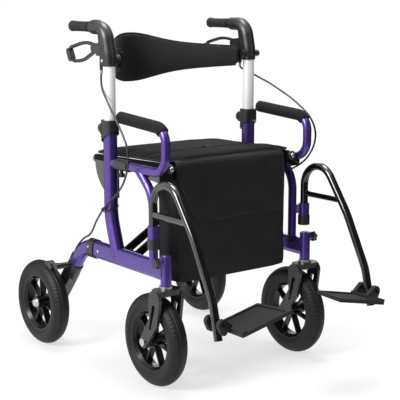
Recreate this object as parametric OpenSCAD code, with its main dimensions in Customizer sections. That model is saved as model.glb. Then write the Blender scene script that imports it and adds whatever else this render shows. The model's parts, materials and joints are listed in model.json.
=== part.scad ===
// Rollator transport chair: two welded side frames on a folding cross brace, with height-adjustable
// push handles, a reversible back strap, armrests, loop brakes, swivel casters and swing-away footrests.
// Millimetres, +Z up, the front (casters and footrests) towards -Y, the occupant's right side at -X.
// Sizes along Y are measured from the upright tube's axis; the whole chair is then centred on its length.

/* [Side frame] */
// Distance between the side frames, tube centre to tube centre
frame_w = 446; // [430:1:480]
// Height of the oval lower rail
rail_h = 46; // [42:1:50]
// Width of the oval lower rail
rail_t = 30; // [28:1:33]
// Wall of the oval lower rail
rail_wall = 2; // [1.6:0.1:3]
// From the upright back to the rail's rear end
rail_rear = 82; // [78:1:88]
// From the upright forward to the caster head tube
head_fwd = 235; // [228:1:250]
// Outside diameter of the head tube
head_d = 27; // [25:1:30]
// Length of the head tube
head_len = 72; // [66:1:76]
// Rail axis above the head tube's lower end
rail_lift = 33; // [30:1:36]
// Outside diameter of the upright
upright_d = 35; // [34.4:0.1:37]
// Height of the upright's top end
upright_top = 628; // [615:1:640]
// Height at which the upright starts to lean forward
kick_z = 392; // [380:1:410]
// Lean of the upright's foot from vertical
kick = 18; // [12:1:22]
// Bend radius of the upright's foot
kick_r = 150; // [100:5:180]

/* [Rear leg] */
// Where the rear leg bends down, behind the upright
leg_bend_y = 128; // [126:1:134]
// Bend radius of the rear leg
leg_bend_r = 93; // [80:1:98]
// Slope of the rear leg below horizontal
leg_rake = 50; // [47:1:53]
// Length of the rear leg from its bend corner to its lower end
leg_run = 110; // [100:1:116]
// Length of the rear leg that is pushed into the rail
leg_insert = 30; // [20:1:40]
// Length of the clamp band over the joint of rail and rear leg
band_len = 28; // [22:1:34]
// Thickness of the clamp band
band_wall = 2.5; // [2:0.1:4]

/* [Armrest and front leg] */
// Diameter of the armrest tube and the front leg
arm_d = 22; // [20:1:25]
// Height of the armrest's lower leg
arm_z = 528; // [522:1:534]
// From the upright forward to the armrest's front
arm_front = 237; // [230:1:242]
// Height of the armrest tube's top corner
arm_top = 634; // [622:1:650]
// Rise of the armrest towards its rear end
arm_rise = 3.5; // [0:0.5:6]
// Bend radius at the armrest's lower corner
arm_low_r = 45; // [35:1:50]
// Bend radius at the armrest's top corner
arm_top_r = 38; // [32:1:42]
// From the upright forward to the open rear end of the armrest tube
arm_gap = 58; // [52:1:70]
// Length of the stub that the upright lends to the armrest
stub_len = 56; // [48:1:62]
// Diameter of the armrest's foam
pad_d = 30; // [28:1:34]
// Foam past the tube's rear end
pad_end = 13; // [8:1:16]
// How far the foam follows the armrest's top bend
pad_turn = 48; // [40:1:60]
// From the upright forward to the vertical part of the front leg
leg_fwd = 184; // [178:1:190]
// From the upright forward to where the front leg leaves the armrest
leg_start = 122; // [116:1:130]
// Height of the front leg's bend corner
leg_bend_z = 472; // [462:1:480]
// Bend radius of the front leg
front_leg_r = 80; // [60:1:90]

/* [Push handle] */
// Diameter of the sliding handle tube
tube_d = 30; // [28:0.5:30]
// Wall of the handle tube
tube_wall = 2; // [1.5:0.1:3]
// Height of the handle tube's lower end
tube_bottom = 490; // [484:1:510]
// Lower end of the handle's elbow below the grip's axis
elbow_drop = 94; // [88:1:98]
// How far the elbow leans back on its way up
elbow_lean = 15.5; // [12:0.5:18]
// How far the handle tube slides up and down from the drawn height
tube_travel = 60; // [40:1:62]
// Depth of the elbow's socket
socket_depth = 30; // [26:1:32]
// Diameter of the elbow
elbow_d = 36; // [35:1:40]
// Height of the grip's axis
grip_z = 862; // [856:1:876]
// From the handle tube back to the grip's root
grip_root = 72; // [68:1:80]
// Diameter of the grip
grip_d = 26; // [25:0.5:30]
// Length of the grip
grip_len = 98; // [90:1:115]
// Diameter of the handlebar core inside the grip
core_d = 18; // [14:1:20]
// Bend radius of the elbow
elbow_r = 40; // [36:1:44]
// Outside diameter of the height clamp
collar_d = 45; // [43:1:48]
// Height of the height clamp
collar_h = 58; // [52:1:62]

/* [Brake] */
// Brake lever pivot, back from the handle tube
lever_y = 54; // [52:1:56]
// Brake lever pivot below the grip's axis
lever_drop = 52; // [50:1:54]
// Length of the lever from its pivot
lever_len = 140; // [134:1:144]
// Depth of the lever's loop below its pivot
lever_deep = 38; // [34:1:40]
// Width of the lever's hub
lever_w = 14; // [10:1:15]
// Thickness of the lever's loop
lever_t = 8.5; // [7:0.5:10]
// Gap between the brake shoe and the tyre, brake off
shoe_gap = 4; // [3.6:0.1:8]
// Brake pivot beyond the tyre's tread
shoe_lift = 33; // [31:1:36]

/* [Seat and cross brace] */
// Height of the seat rail's axis at its front end
seat_z = 535; // [532:1:538]
// Diameter of the seat rail
seat_rail_d = 22; // [20:0.5:23]
// Seat rail inside the side frame's centre plane
rail_inset = 31; // [30.5:0.5:33]
// From the upright forward to the seat rail's front end
seat_front = 212; // [206:1:218]
// Length of the seat rail
seat_rail_len = 327; // [315:1:335]
// Slope of the seat down to the rear
seat_tilt = 2; // [0:0.5:3]
// Width of the seat pad
seat_w = 400; // [380:1:403]
// Depth of the seat pad, front to rear
seat_d = 332; // [315:1:336]
// Height of the seat pad's crown
seat_crown = 17; // [14:0.5:24]
// How far the seat pad's sides are drawn in between its corners
seat_draw = 5; // [2:0.5:9]
// Middle of the cross brace, forward of the upright
brace_fwd = 40; // [34:1:46]
// Height of the brace's lower pivots
brace_z = 298; // [294:1:304]
// Depth of a brace bar
brace_h = 18; // [16:1:22]
// Thickness of each outer brace bar
outer_bar_t = 10; // [8:1:12]
// Thickness of the inner brace bar
inner_bar_t = 20; // [14:1:24]
// Length of the brace's lower pivot tube
pivot_len = 60; // [58:1:70]
// Diameter of the brace's pins and bolt
pin_d = 10; // [8:0.5:11]

/* [Wheels] */
// Wheel diameter over the tyre
wheel_d = 230; // [222:1:236]
// Width of the tyre
tyre_w = 48; // [44:1:50]
// Diameter of the tyre's seat on the rim
rim_d = 154; // [146:1:160]
// Width of the wheel hub
hub_w = 44; // [40:1:46]
// Diameter of the wheel hub
hub_d = 34; // [30:1:38]
// Number of spokes
spokes = 7; // [5:1:9]
// Wheel axle diameter
axle_d = 12; // [10:0.5:13]
// From the upright back to the rear axle
rear_axle_y = 278; // [272:1:284]
// Rear wheel outside the side frame's centre plane
rear_out = 45; // [44:1:50]
// Trail of the casters
trail = 45; // [40:1:50]
// Diameter of the caster stem
stem_d = 16; // [14:0.5:17]
// Clear space between the tyre and the caster's crown
crown_gap = 9; // [8:1:14]
// Thickness of the caster's crown
crown_t = 13; // [11:1:16]
// Height of the nut between crown and head tube
nut_h = 8; // [7:0.5:10]
// Thickness of a fork leg
fork_t = 8; // [6:0.5:9]
// Clear space between tyre and fork leg
fork_gap = 5; // [4:0.5:7]

/* [Footrest] */
// Diameter of the hanger tube
hanger_d = 20; // [18:0.5:21]
// Wall of the hanger tube
hanger_wall = 2; // [1.5:0.1:3]
// Hanger outside the side frame's centre plane
hanger_out = 18; // [18:0.5:22]
// From the upright forward to the hanger's rear leg
hanger_back = 210; // [208:1:214]
// Radius of the hanger's arch
arch_r = 54; // [48:1:60]
// Height of the top of the arch, over the tube
arch_top = 517; // [508:1:520]
// Lean of the hanger's front leg from vertical
hanger_lean = 36; // [33:1:38]
// Lean of the hanger's shin
shin_lean = 28; // [24:1:31]
// Lean of the hanger's lower end
ankle_lean = 14; // [10:1:18]
// Height of the knee, where the front leg meets the shin
knee_z = 400; // [392:1:410]
// Height of the ankle, where the shin straightens
ankle_z = 272; // [264:1:282]
// Height of the hanger's lower end
foot_z = 182; // [176:1:190]
// Height of the cross bar of the hanger
bar_z = 431; // [424:1:438]
// Diameter of the cross bar of the hanger
bar_d = 16; // [12:0.5:17]
// Height of the footplate pivot
plate_pivot_z = 222; // [216:1:228]
// Tilt of the footplate, inner end up
plate_tilt = 12; // [8:1:16]
// Length of the footplate's front edge from its pivot
plate_len = 166; // [150:1:172]
// How much shorter the footplate's rear edge is
plate_slant = 20; // [10:1:30]
// Footplate in front of its pivot
plate_fwd = 73; // [60:1:80]
// Footplate behind its pivot
plate_aft = 29; // [28:1:38]
// Thickness of the footplate
plate_t = 9; // [8:0.5:12]
// Footplate's tread below its pivot
plate_under = 16; // [14:0.5:18]
// Upper end of the footrest receiver
receiver_top = 404; // [400:1:410]
// Length of the receiver tube
receiver_len = 32; // [28:1:36]
// Length of the receiver's clamp
clamp_len = 25; // [20:1:28]

/* [Bag and back strap] */
// Height of the bag
bag_h = 286; // [260:1:288]
// Depth of the bag, front to rear
bag_d = 88; // [70:1:96]
// Height of the bag's top
bag_top = 541; // [530:1:542]
// Corner radius of the bag
bag_r = 12; // [6:1:20]
// Back strap's pivots below the grip's axis
strap_drop = 78; // [74:1:80]
// Depth of the back strap's bow
strap_bow = 242; // [200:1:250]
// Height of the back strap at its middle
strap_mid_h = 131; // [110:1:136]
// Height of the back strap at its ends
strap_end_h = 48; // [44:1:56]
// How much lower the back strap hangs at its middle
strap_sag = 9; // [4:1:16]
// Thickness of the back strap
strap_t = 24; // [18:1:30]

/* [Fits] */
// Radial clearance of running fits
run_gap = 0.05; // [0.02:0.01:0.1]
// Clearance of pieces that are fixed to each other
fit_gap = 0.1; // [0.05:0.05:0.2]
// Radial clearance of the sliding handle tube
slide_gap = 0.3; // [0.2:0.05:0.4]
// Side clearance between moving pieces
side_gap = 0.5; // [0.3:0.1:0.8]

/* [Hidden] */
$fn = 64;

// Colours
frame_paint = "#4a3684";
tube_silver = "#d9d9dc";
black_plastic = "#26262a";
black_paint = "#1d1d20";
foam_black = "#2b2b2d";
cloth_black = "#232326";
rubber_black = "#2e2e2f";
steel = "#a9abb0";

// Places worked out from the sizes above
eps = 1;
half_w = frame_w / 2;
wheel_r = wheel_d / 2;
crown_bottom = wheel_d + crown_gap;
crown_top = crown_bottom + crown_t;
head_bottom = crown_top + nut_h;
head_top = head_bottom + head_len;
rail_z = head_bottom + rail_lift;
rear_x = half_w + rear_out;
hanger_x = half_w + hanger_out;
brace_x = half_w - rail_inset;
leg_h = rail_h - 2 * rail_wall - 2 * fit_gap;
leg_t = rail_t - 2 * rail_wall - 2 * fit_gap;
leg_dir = [cos(leg_rake), -sin(leg_rake)];
leg_end = [leg_bend_y, rail_z] + leg_run * leg_dir;
rear_axle = [rear_axle_y, wheel_r];
elbow_z = grip_z - elbow_drop;
lever_z = grip_z - lever_drop;
strap_z = grip_z - strap_drop;

// The hanger's bends, from the receiver over the arch to the foot
arch_mid = [-hanger_back - arch_r, arch_top - hanger_d / 2 - arch_r];
arch_end = arch_mid + arch_r * [-cos(hanger_lean), sin(hanger_lean)];
arch_corner = [-hanger_back, arch_end[1] + (-hanger_back - arch_end[0]) / tan(hanger_lean)];
knee = [arch_end[0] - (arch_end[1] - knee_z) * tan(hanger_lean), knee_z];
ankle = [knee[0] - (knee_z - ankle_z) * tan(shin_lean), ankle_z];
foot = [ankle[0] - (ankle_z - foot_z) * tan(ankle_lean), foot_z];
receiver_bottom = receiver_top - receiver_len;
clamp_bottom = receiver_bottom - clamp_len;
clamp_floor = 4;
hanger_bottom = clamp_bottom + clamp_floor + side_gap;
hanger_path = [[-hanger_back, hanger_bottom], arch_corner, knee, ankle, foot];
hanger_bends = [0, arch_r, 300, 120, 0];
pivot_y = ankle[0] - (ankle_z - plate_pivot_z) * tan(ankle_lean);
bar_front = arch_end[0] - (arch_end[1] - bar_z) * tan(hanger_lean);

// The chair's reach to the front and rear centres it on its length
front_reach = -pivot_y + plate_fwd;
rear_reach = rear_axle_y + wheel_r;
mid_y = (front_reach - rear_reach) / 2;

// Frame tubes
upright_path = [[0, upright_top], [0, kick_z], [-(kick_z - rail_z) * tan(kick), rail_z]];
upright_bends = [0, kick_r, 0];
arm_end = [-arm_gap, arm_top + (arm_front - arm_gap) * tan(arm_rise)];
arm_path = [[-stub_len, arm_z], [-arm_front, arm_z], [-arm_front, arm_top], arm_end];
arm_bends = [0, arm_low_r, arm_top_r, 0];
front_leg_path = [[-leg_start, arm_z], [-leg_fwd, leg_bend_z], [-leg_fwd, rail_z]];
front_leg_bends = [0, front_leg_r, 0];
pad_far = arm_end + pad_end * [cos(arm_rise), sin(arm_rise)];
pad_path = [pad_far, [-arm_front, arm_top], [-arm_front, arm_top - arm_top_r - eps]];
pad_bends = [0, arm_top_r, 0];
pad_hub = [arm_top_r - arm_front, arm_top - arm_top_r * tan(45 - arm_rise / 2)];
rear_leg_path = [[rail_rear - leg_insert, rail_z], [leg_bend_y, rail_z], leg_end];
rear_leg_bends = [0, leg_bend_r, 0];

// Clamps, knobs and brackets
collar_lip = 7;
collar_z = upright_top + collar_lip - collar_h;
collar_flat = rail_inset - seat_rail_d / 2 - side_gap;
boss_reach = 28;
boss_w = 24;
boss_h = 26;
boss_drop = 16;
boss_z = upright_top - boss_drop;
knob_shaft_d = 8;
height_shaft_len = 9;
knob_d = 26;
knob_t = 10;
star_z = rail_z + head_len / 3;
star_shaft_len = 12;
star_d = 26;
star_t = 13;
star_boss_d = 16;
star_boss_out = head_d / 2 + 7;
socket_len = 40;
socket_wall = 3;
boss_d = 38;
axle_boss_in = 16;
cap_d = 26;
cap_t = 6;
brake_pin_d = 8;
brake_turn = 128;
brake_pivot = rear_axle + (wheel_r + shoe_lift) * [cos(brake_turn), sin(brake_turn)];
shoe_from = 106;
shoe_to = 121;
shoe_t = 7;
shoe_w = tyre_w / 2;
arm_sleeve_rear = 30;
arm_sleeve_len = 56;
arm_sleeve_wall = 3;
saddle_w = 40;
saddle_wall = 4;
saddle_drop = 18;
saddle_in = brace_x - seat_rail_d / 2 - side_gap - saddle_wall;
plate_bracket_t = 4;
plate_bracket_r = 88;
rear_pin_d = 10;
rear_pin_y = 86;
lug_t = 5;
lug_r = 10;
bag_half = saddle_in - side_gap;

// Push handle details
strap_boss_d = 24;
strap_boss_in = 23;
strap_pin_d = 10;
strap_pin_in = 6;
strap_end_gap = 13;
strap_half = half_w - strap_boss_in - side_gap - strap_end_gap;
strap_low = 4;
cheek_t = 5;
cheek_r = 12;
lever_pin_d = 6;
adjuster_y = 37;
adjuster_d = 8;
adjuster_drop = 11;
adjuster_z = elbow_z - adjuster_drop;
core_short = 14;
core_len = grip_len - core_short;
function lever_at(along, up) = [lever_y + along * lever_len, lever_z + up * lever_deep];
lever_path = [lever_at(0.015, 0.13), lever_at(0.35, 0.4), lever_at(1, -0.16), lever_at(0.84, -1),
    lever_at(0.46, -0.9), lever_at(0.06, -0.2)];
lever_bends = lever_deep * [0, 3.9, 0.38, 0.68, 3.1, 0];

// The brake cable's route: out from the side frame's centre plane, back from the upright, and height.
// It runs from the handle in a loop past the armrest, wider on the left, and along the rail to the
// brake, and its upper part stretches with the handle's height.
cable_d = 5;
cable_gap = 0.6;
cable_rest_z = 757;
cable_still_z = 528;
function cable_lift(z) =
    (adjuster_z - cable_rest_z) * max(0, z - cable_still_z) / (cable_rest_z - cable_still_z);
right_cable_loop = [
    [0, 37, 757], [1, 36, 746], [9, 24, 730], [17, 7, 713], [22, -14, 695], [25, -38, 672],
    [26, -68, 641], [27, -94, 613], [27, -114, 582], [27, -118, 551], [26, -112, 522], [25, -92, 488],
    [23, -62, 460]
];
left_cable_loop = [
    [0, 37, 757], [1, 36, 746], [9, 24, 737], [18, 4, 728], [23, -24, 718], [25, -58, 707],
    [26, -98, 692], [27, -140, 675], [27, -180, 655], [27, -210, 636], [27, -230, 614], [27, -239, 590],
    [27, -237, 568], [27, -228, 547], [27, -212, 526], [26, -190, 507], [25, -160, 490], [24, -115, 472],
    [23, -66, 453]
];
cable_tail = [
    [22, -26, 434], [22, 8, 406], [20, 40, 374], [15, 66, 346], [9, 94, 327], [3, 124, 315],
    [0, 150, 299], [0, 168, 283], [0, 184, 264]
];
function cable_route(loop) =
    let (plan = concat(loop, cable_tail))
    [for (i = [0 : len(plan) - 1])
        let (p = plan[i])
        [-half_w - p[0], p[1], p[2] + cable_lift(p[2]) - (i == 0 ? cable_gap : 0)]];
cable_end = [cable_tail[len(cable_tail) - 1][1], cable_tail[len(cable_tail) - 1][2]];

// Length taken from each straight by the bend at corner i
function turn_at(p, i) =
    let (a = p[i] - p[i - 1], b = p[i + 1] - p[i])
    atan2(a[0] * b[1] - a[1] * b[0], a * b);
function bend_cut(p, r, i) = r[i] == 0 ? 0 : r[i] * tan(abs(turn_at(p, i)) / 2);
function heading(v) = atan2(v[1], v[0]);
function stretched(p, by) =
    let (last = len(p) - 1, a = p[0] - p[1], b = p[last] - p[last - 1])
    [for (i = [0 : last])
        i == 0 ? p[0] + by * a / norm(a) : i == last ? p[last] + by * b / norm(b) : p[i]];
function rail_at(y) = seat_z - (y + seat_front) * tan(seat_tilt);

// A bar of the child's section along a flat path with bends, drawn in XY. Bends are a hair thicker
// than straights, which run a little way into them, so that the two always join.
bend_swell = 1.004;
bend_lap = 0.3;
module bent_bar(p, r) {
    last = len(p) - 1;
    for (i = [0 : last - 1]) {
        leg = p[i + 1] - p[i];
        from = i == 0 ? 0 : bend_cut(p, r, i) - bend_lap;
        to = i == last - 1 ? 0 : bend_cut(p, r, i + 1) - bend_lap;
        translate(p[i] + from * leg / norm(leg))
            rotate([0, 0, heading(leg)])
            rotate([90, 0, 90])
            linear_extrude(height = norm(leg) - from - to) children();
    }
    for (i = [1 : 1 : last - 1]) {
        leg = p[i] - p[i - 1];
        turn = turn_at(p, i);
        side = sign(turn);
        along = leg / norm(leg);
        start = p[i] - bend_cut(p, r, i) * along;
        translate(start + side * r[i] * [-along[1], along[0]])
            rotate([0, 0, heading(along) - 90 * side + min(turn, 0)])
            rotate_extrude(angle = abs(turn)) translate([r[i], 0]) scale(bend_swell) children();
    }
}

// Puts an XY drawing into the side plane at x: its X runs along Y, its Y along Z
module in_side(x) {
    translate([x, 0, 0]) rotate([90, 0, 90]) children();
}

// An oval section, h in the plane of the bend and t across it
module oval(h, t) {
    square([h - t, t], center = true);
    for (s = [-1, 1]) translate([s * (h - t) / 2, 0]) circle(d = t);
}

// A flat link with round ends of two radii
module link(p, rp, q, rq) {
    gap = q - p;
    swing = acos((rp - rq) / norm(gap));
    a = heading(gap);
    translate(p) circle(r = rp);
    translate(q) circle(r = rq);
    polygon([
        p + rp * [cos(a + swing), sin(a + swing)], q + rq * [cos(a + swing), sin(a + swing)],
        q + rq * [cos(a - swing), sin(a - swing)], p + rp * [cos(a - swing), sin(a - swing)]
    ]);
}

// A cylinder along +X, from x over a length
module rod_x(x, y, z, d, h) {
    translate([x, y, z]) rotate([0, 90, 0]) cylinder(d = d, h = h);
}

// A cylinder along +Y
module rod_y(x, y, z, d, h) {
    translate([x, y, z]) rotate([-90, 0, 0]) cylinder(d = d, h = h);
}

// A knob with lobes about its own axis
module lobed_knob(d, t, lobes) {
    lobe = d / 5;
    cylinder(d = d - lobe, h = t);
    for (i = [0 : lobes - 1])
        rotate([0, 0, 360 * i / lobes]) translate([d / 2 - lobe / 2, 0, 0]) cylinder(d = lobe, h = t);
}

// Right-hand pieces are drawn at -X, left-hand ones are their mirror images
module right() {
    translate([0, mid_y, 0]) children();
}

module left() {
    translate([0, mid_y, 0]) mirror([1, 0, 0]) children();
}

// Shapes that several pieces fit against
module rail_outer() {
    in_side(-half_w)
        bent_bar([[-head_fwd, rail_z], [rail_rear, rail_z]], [0, 0]) oval(rail_h, rail_t);
}

module arm_outer(gap) {
    in_side(-half_w) bent_bar(stretched(arm_path, gap), arm_bends) circle(d = arm_d + 2 * gap);
}

module upright_outer(gap) {
    in_side(-half_w) bent_bar(upright_path, upright_bends) circle(d = upright_d + 2 * gap);
}

module rear_leg_outer(gap) {
    in_side(-half_w)
        bent_bar(rear_leg_path, rear_leg_bends) oval(leg_h + 2 * gap, leg_t + 2 * gap);
}

// Lower rail with the caster head tube and the boss of its lock knob
module lower_rail() {
    color(frame_paint) difference() {
        union() {
            rail_outer();
            translate([-half_w, -head_fwd, head_bottom]) cylinder(d = head_d, h = head_len);
            rod_x(-half_w - star_boss_out, -head_fwd, star_z, star_boss_d, star_boss_out);
        }
        in_side(-half_w)
            bent_bar([[head_d - head_fwd, rail_z], [rail_rear + eps, rail_z]], [0, 0])
            oval(rail_h - 2 * rail_wall, rail_t - 2 * rail_wall);
        translate([-half_w, -head_fwd, head_bottom - eps])
            cylinder(d = stem_d + 2 * run_gap, h = head_len + 2 * eps);
        rod_x(-half_w - star_boss_out - eps, -head_fwd, star_z, knob_shaft_d + 2 * run_gap,
            star_shaft_len + eps);
    }
}

// Upright tube, hollow for the handle tube, with the armrest's stub
module upright() {
    color(frame_paint) difference() {
        union() {
            upright_outer(0);
            in_side(-half_w) bent_bar([[0, arm_z], [-stub_len, arm_z]], [0, 0]) circle(d = arm_d);
        }
        translate([-half_w, 0, tube_bottom - tube_travel - eps])
            cylinder(d = tube_d + 2 * slide_gap, h = upright_top - tube_bottom + tube_travel + 2 * eps);
        rail_outer();
    }
}

// Armrest tube, the front leg welded under it and the footrest's receiver
module armrest_tube() {
    link_h = 22;
    color(frame_paint) difference() {
        union() {
            arm_outer(0);
            in_side(-half_w) bent_bar(front_leg_path, front_leg_bends) circle(d = arm_d);
            translate([-hanger_x, -hanger_back, receiver_bottom])
                cylinder(d = hanger_d + 8, h = receiver_len);
            translate([0, 0, receiver_bottom + (receiver_len - link_h) / 2])
                linear_extrude(height = link_h)
                link([-half_w, -leg_fwd], arm_d / 3, [-hanger_x, -hanger_back], hanger_d / 2);
        }
        rail_outer();
        translate([-hanger_x, -hanger_back, receiver_bottom - eps])
            cylinder(d = hanger_d + 2 * run_gap, h = receiver_len + 2 * eps);
    }
}

// Foam armrest over the tube's upper leg
module armrest_pad() {
    cut = 2 * (arm_top_r + pad_d);
    color(foam_black) difference() {
        in_side(-half_w) bent_bar(pad_path, pad_bends) circle(d = pad_d);
        arm_outer(fit_gap);
        translate([-half_w - pad_d, pad_hub[0], pad_hub[1]]) rotate([pad_turn, 0, 0])
            translate([0, -cut, -cut]) cube([2 * pad_d, cut, 2 * cut]);
    }
}

// Plastic sleeves: armrest joint, rail joint and the receiver's clamp
module sleeves() {
    sleeve_d = arm_d + 2 * fit_gap + 2 * arm_sleeve_wall;
    screw_d = 9;
    screw_drop = 8;
    screw_knob_d = 18;
    screw_knob_t = 9;
    clamp_wall = 5.5;
    knob_y = -arm_sleeve_rear - arm_sleeve_len / 3;
    screw_z = arm_z - sleeve_d / 2 - screw_drop;
    band_front = rail_rear - band_len / 2;
    color(black_plastic) {
        difference() {
            union() {
                rod_y(-half_w, -arm_sleeve_rear - arm_sleeve_len, arm_z, sleeve_d, arm_sleeve_len);
                translate([-half_w, knob_y, screw_z]) cylinder(d = screw_d, h = screw_drop + arm_sleeve_wall);
                translate([-half_w, knob_y, screw_z + eps - screw_knob_t])
                    lobed_knob(screw_knob_d, screw_knob_t, 6);
            }
            rod_y(-half_w, -arm_sleeve_rear - arm_sleeve_len - eps, arm_z, arm_d + 2 * fit_gap,
                arm_sleeve_len + 2 * eps);
        }
        difference() {
            in_side(-half_w)
                bent_bar([[band_front, rail_z], [band_front + band_len, rail_z]], [0, 0])
                oval(rail_h + 2 * band_wall, rail_t + 2 * band_wall);
            in_side(-half_w)
                bent_bar([[band_front - eps, rail_z], [rail_rear + fit_gap, rail_z]], [0, 0])
                oval(rail_h + 2 * fit_gap, rail_t + 2 * fit_gap);
            rear_leg_outer(fit_gap);
        }
        difference() {
            translate([-hanger_x, -hanger_back, clamp_bottom])
                cylinder(d = hanger_d + 2 * clamp_wall, h = clamp_len);
            translate([-hanger_x, -hanger_back, clamp_bottom + clamp_floor])
                cylinder(d = hanger_d + 2 * run_gap, h = clamp_len);
        }
    }
}

// Clamp at the upright's top that holds the handle's height, lower at the rear and flat inside where
// the seat rail passes when the chair folds
module height_collar() {
    skew = 33;
    color(black_plastic) difference() {
        union() {
            translate([-half_w, 0, collar_z]) cylinder(d = collar_d, h = collar_h);
            translate([-half_w - boss_w / 2, 0, boss_z - boss_h / 2]) cube([boss_w, boss_reach, boss_h]);
        }
        translate([-half_w, 0, collar_z - eps])
            cylinder(d = upright_d + 2 * fit_gap, h = upright_top - collar_z + eps);
        translate([-half_w, 0, collar_z]) cylinder(d = tube_d + 2 * slide_gap, h = collar_h + eps);
        rod_y(-half_w, boss_reach - height_shaft_len, boss_z, knob_shaft_d + 2 * run_gap,
            height_shaft_len + eps);
        translate([-half_w - collar_d, collar_d / 2, collar_z])
            rotate([-skew, 0, 0]) translate([0, -2 * collar_d, -collar_h])
            cube([2 * collar_d, 3 * collar_d, collar_h]);
        translate([-half_w + collar_flat, -collar_d, collar_z - eps])
            cube([collar_d, 2 * collar_d, collar_h + 2 * eps]);
    }
}

// Knob that tightens the height clamp
module height_knob() {
    color(black_plastic) {
        rod_y(-half_w, boss_reach - height_shaft_len + side_gap, boss_z, knob_shaft_d,
            height_shaft_len);
        translate([-half_w, boss_reach + side_gap, boss_z]) rotate([-90, 0, 0])
            lobed_knob(knob_d, knob_t, 12);
    }
}

// Oval rear leg, pushed into the rail and curved down to the wheel bracket
module rear_leg() {
    color(frame_paint) difference() {
        rear_leg_outer(0);
        in_side(-half_w) bent_bar(stretched(rear_leg_path, eps), rear_leg_bends)
            oval(leg_h - 2 * rail_wall, leg_t - 2 * rail_wall);
    }
}

// Plastic bracket from the rear leg to the axle, with the brake's pin
module wheel_bracket() {
    arm_t = leg_t + 2 * socket_wall;
    face = half_w + arm_t / 2;
    web_t = arm_t - 3;
    socket_floor = 7;
    ferrule_d = 2 * cable_d;
    ferrule_len = socket_len / 2;
    pivot_wall = 4;
    color(black_plastic) difference() {
        union() {
            in_side(-half_w)
                bent_bar([leg_end - socket_len * leg_dir, leg_end + socket_floor * leg_dir], [0, 0])
                oval(leg_h + 2 * socket_wall, arm_t);
            in_side(-half_w - web_t / 2) linear_extrude(height = web_t)
                link(leg_end, leg_h / 2 - socket_wall, rear_axle, boss_d / 2 - eps);
            rod_x(-(rear_x - hub_w / 2 - side_gap), rear_axle[0], rear_axle[1], boss_d,
                rear_x - hub_w / 2 - side_gap - half_w + axle_boss_in);
            rod_x(-(rear_x + shoe_w / 2), brake_pivot[0], brake_pivot[1], brake_pin_d,
                rear_x + shoe_w / 2 - face + eps);
            rod_x(-face - side_gap / 2, brake_pivot[0], brake_pivot[1], brake_pin_d + 2 * pivot_wall,
                arm_t + side_gap);
            in_side(-half_w) bent_bar([cable_end + ferrule_len * leg_dir, cable_end], [0, 0])
                circle(d = ferrule_d);
        }
        in_side(-half_w)
            bent_bar([leg_end - 2 * socket_len * leg_dir, leg_end + fit_gap * leg_dir], [0, 0])
            oval(leg_h + 2 * fit_gap, leg_t + 2 * fit_gap);
        rod_x(-rear_x, rear_axle[0], rear_axle[1], axle_d + 2 * fit_gap, 2 * rear_out + 2 * boss_d);
    }
}

// Rear axle with its inner nut and outer cap
module rear_axle() {
    nut_t = 8;
    inner = half_w - axle_boss_in - nut_t;
    outer = rear_x + hub_w / 2 + side_gap;
    color(steel) {
        rod_x(-outer - cap_t, rear_axle[0], rear_axle[1], axle_d, outer + cap_t - inner);
        translate([-inner - nut_t, rear_axle[0], rear_axle[1]]) rotate([0, 90, 0])
            cylinder(d = 1.8 * axle_d, h = nut_t, $fn = 6);
        translate([-outer, rear_axle[0], rear_axle[1]]) rotate([0, -90, 0])
            cylinder(d1 = cap_d, d2 = 0.7 * cap_d, h = cap_t);
    }
}

// Deep-dished rim about the X axis: barrel, hub and thin spokes
module rim_shape() {
    seat_half = sqrt(pow(tyre_w / 2, 2) - pow(tyre_mid - rim_d / 2, 2));
    barrel = 4;
    dish = 11;
    spoke_t = 4;
    spoke_w = 18;
    web = rim_d / 2 - dish;
    web_half = spoke_w / 2 + 2;
    rotate([0, 90, 0]) difference() {
        union() {
            rotate_extrude() polygon([
                [rim_d / 2, -seat_half], [rim_d / 2, seat_half], [rim_d / 2 - barrel, seat_half],
                [web, web_half], [web, -web_half], [rim_d / 2 - barrel, -seat_half]
            ]);
            translate([0, 0, -hub_w / 2]) cylinder(d = hub_d, h = hub_w);
            for (i = [0 : spokes - 1]) rotate([0, 0, 360 * (i + 0.5) / spokes])
                translate([hub_d / 4, -spoke_t / 2, -spoke_w / 2])
                cube([web + 2 - hub_d / 4, spoke_t, spoke_w]);
        }
        translate([0, 0, -hub_w / 2 - eps]) cylinder(d = axle_d + 2 * run_gap, h = hub_w + 2 * eps);
    }
}

// Fat round tyre about the X axis, with two grooves round its tread
tyre_mid = wheel_r - tyre_w / 2;
module tyre_shape() {
    groove_w = 3;
    groove_deep = 2.5;
    groove_at = tyre_w / 6;
    rotate([0, 90, 0]) rotate_extrude() difference() {
        translate([tyre_mid, 0]) circle(d = tyre_w);
        translate([0, -tyre_w]) square([rim_d / 2, 2 * tyre_w]);
        for (s = [-1, 1])
            translate([tyre_mid + sqrt(pow(tyre_w / 2, 2) - pow(groove_at, 2)) - groove_deep,
                s * groove_at - groove_w / 2])
            square([2 * groove_deep, groove_w]);
    }
}

module rear_rim() {
    color(black_plastic) translate([-rear_x, rear_axle[0], rear_axle[1]]) rim_shape();
}

module rear_tyre() {
    color(rubber_black) translate([-rear_x, rear_axle[0], rear_axle[1]]) tyre_shape();
}

module front_rim() {
    color(black_plastic) translate([-half_w, trail - head_fwd, wheel_r]) rim_shape();
}

module front_tyre() {
    color(rubber_black) translate([-half_w, trail - head_fwd, wheel_r]) tyre_shape();
}

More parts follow.
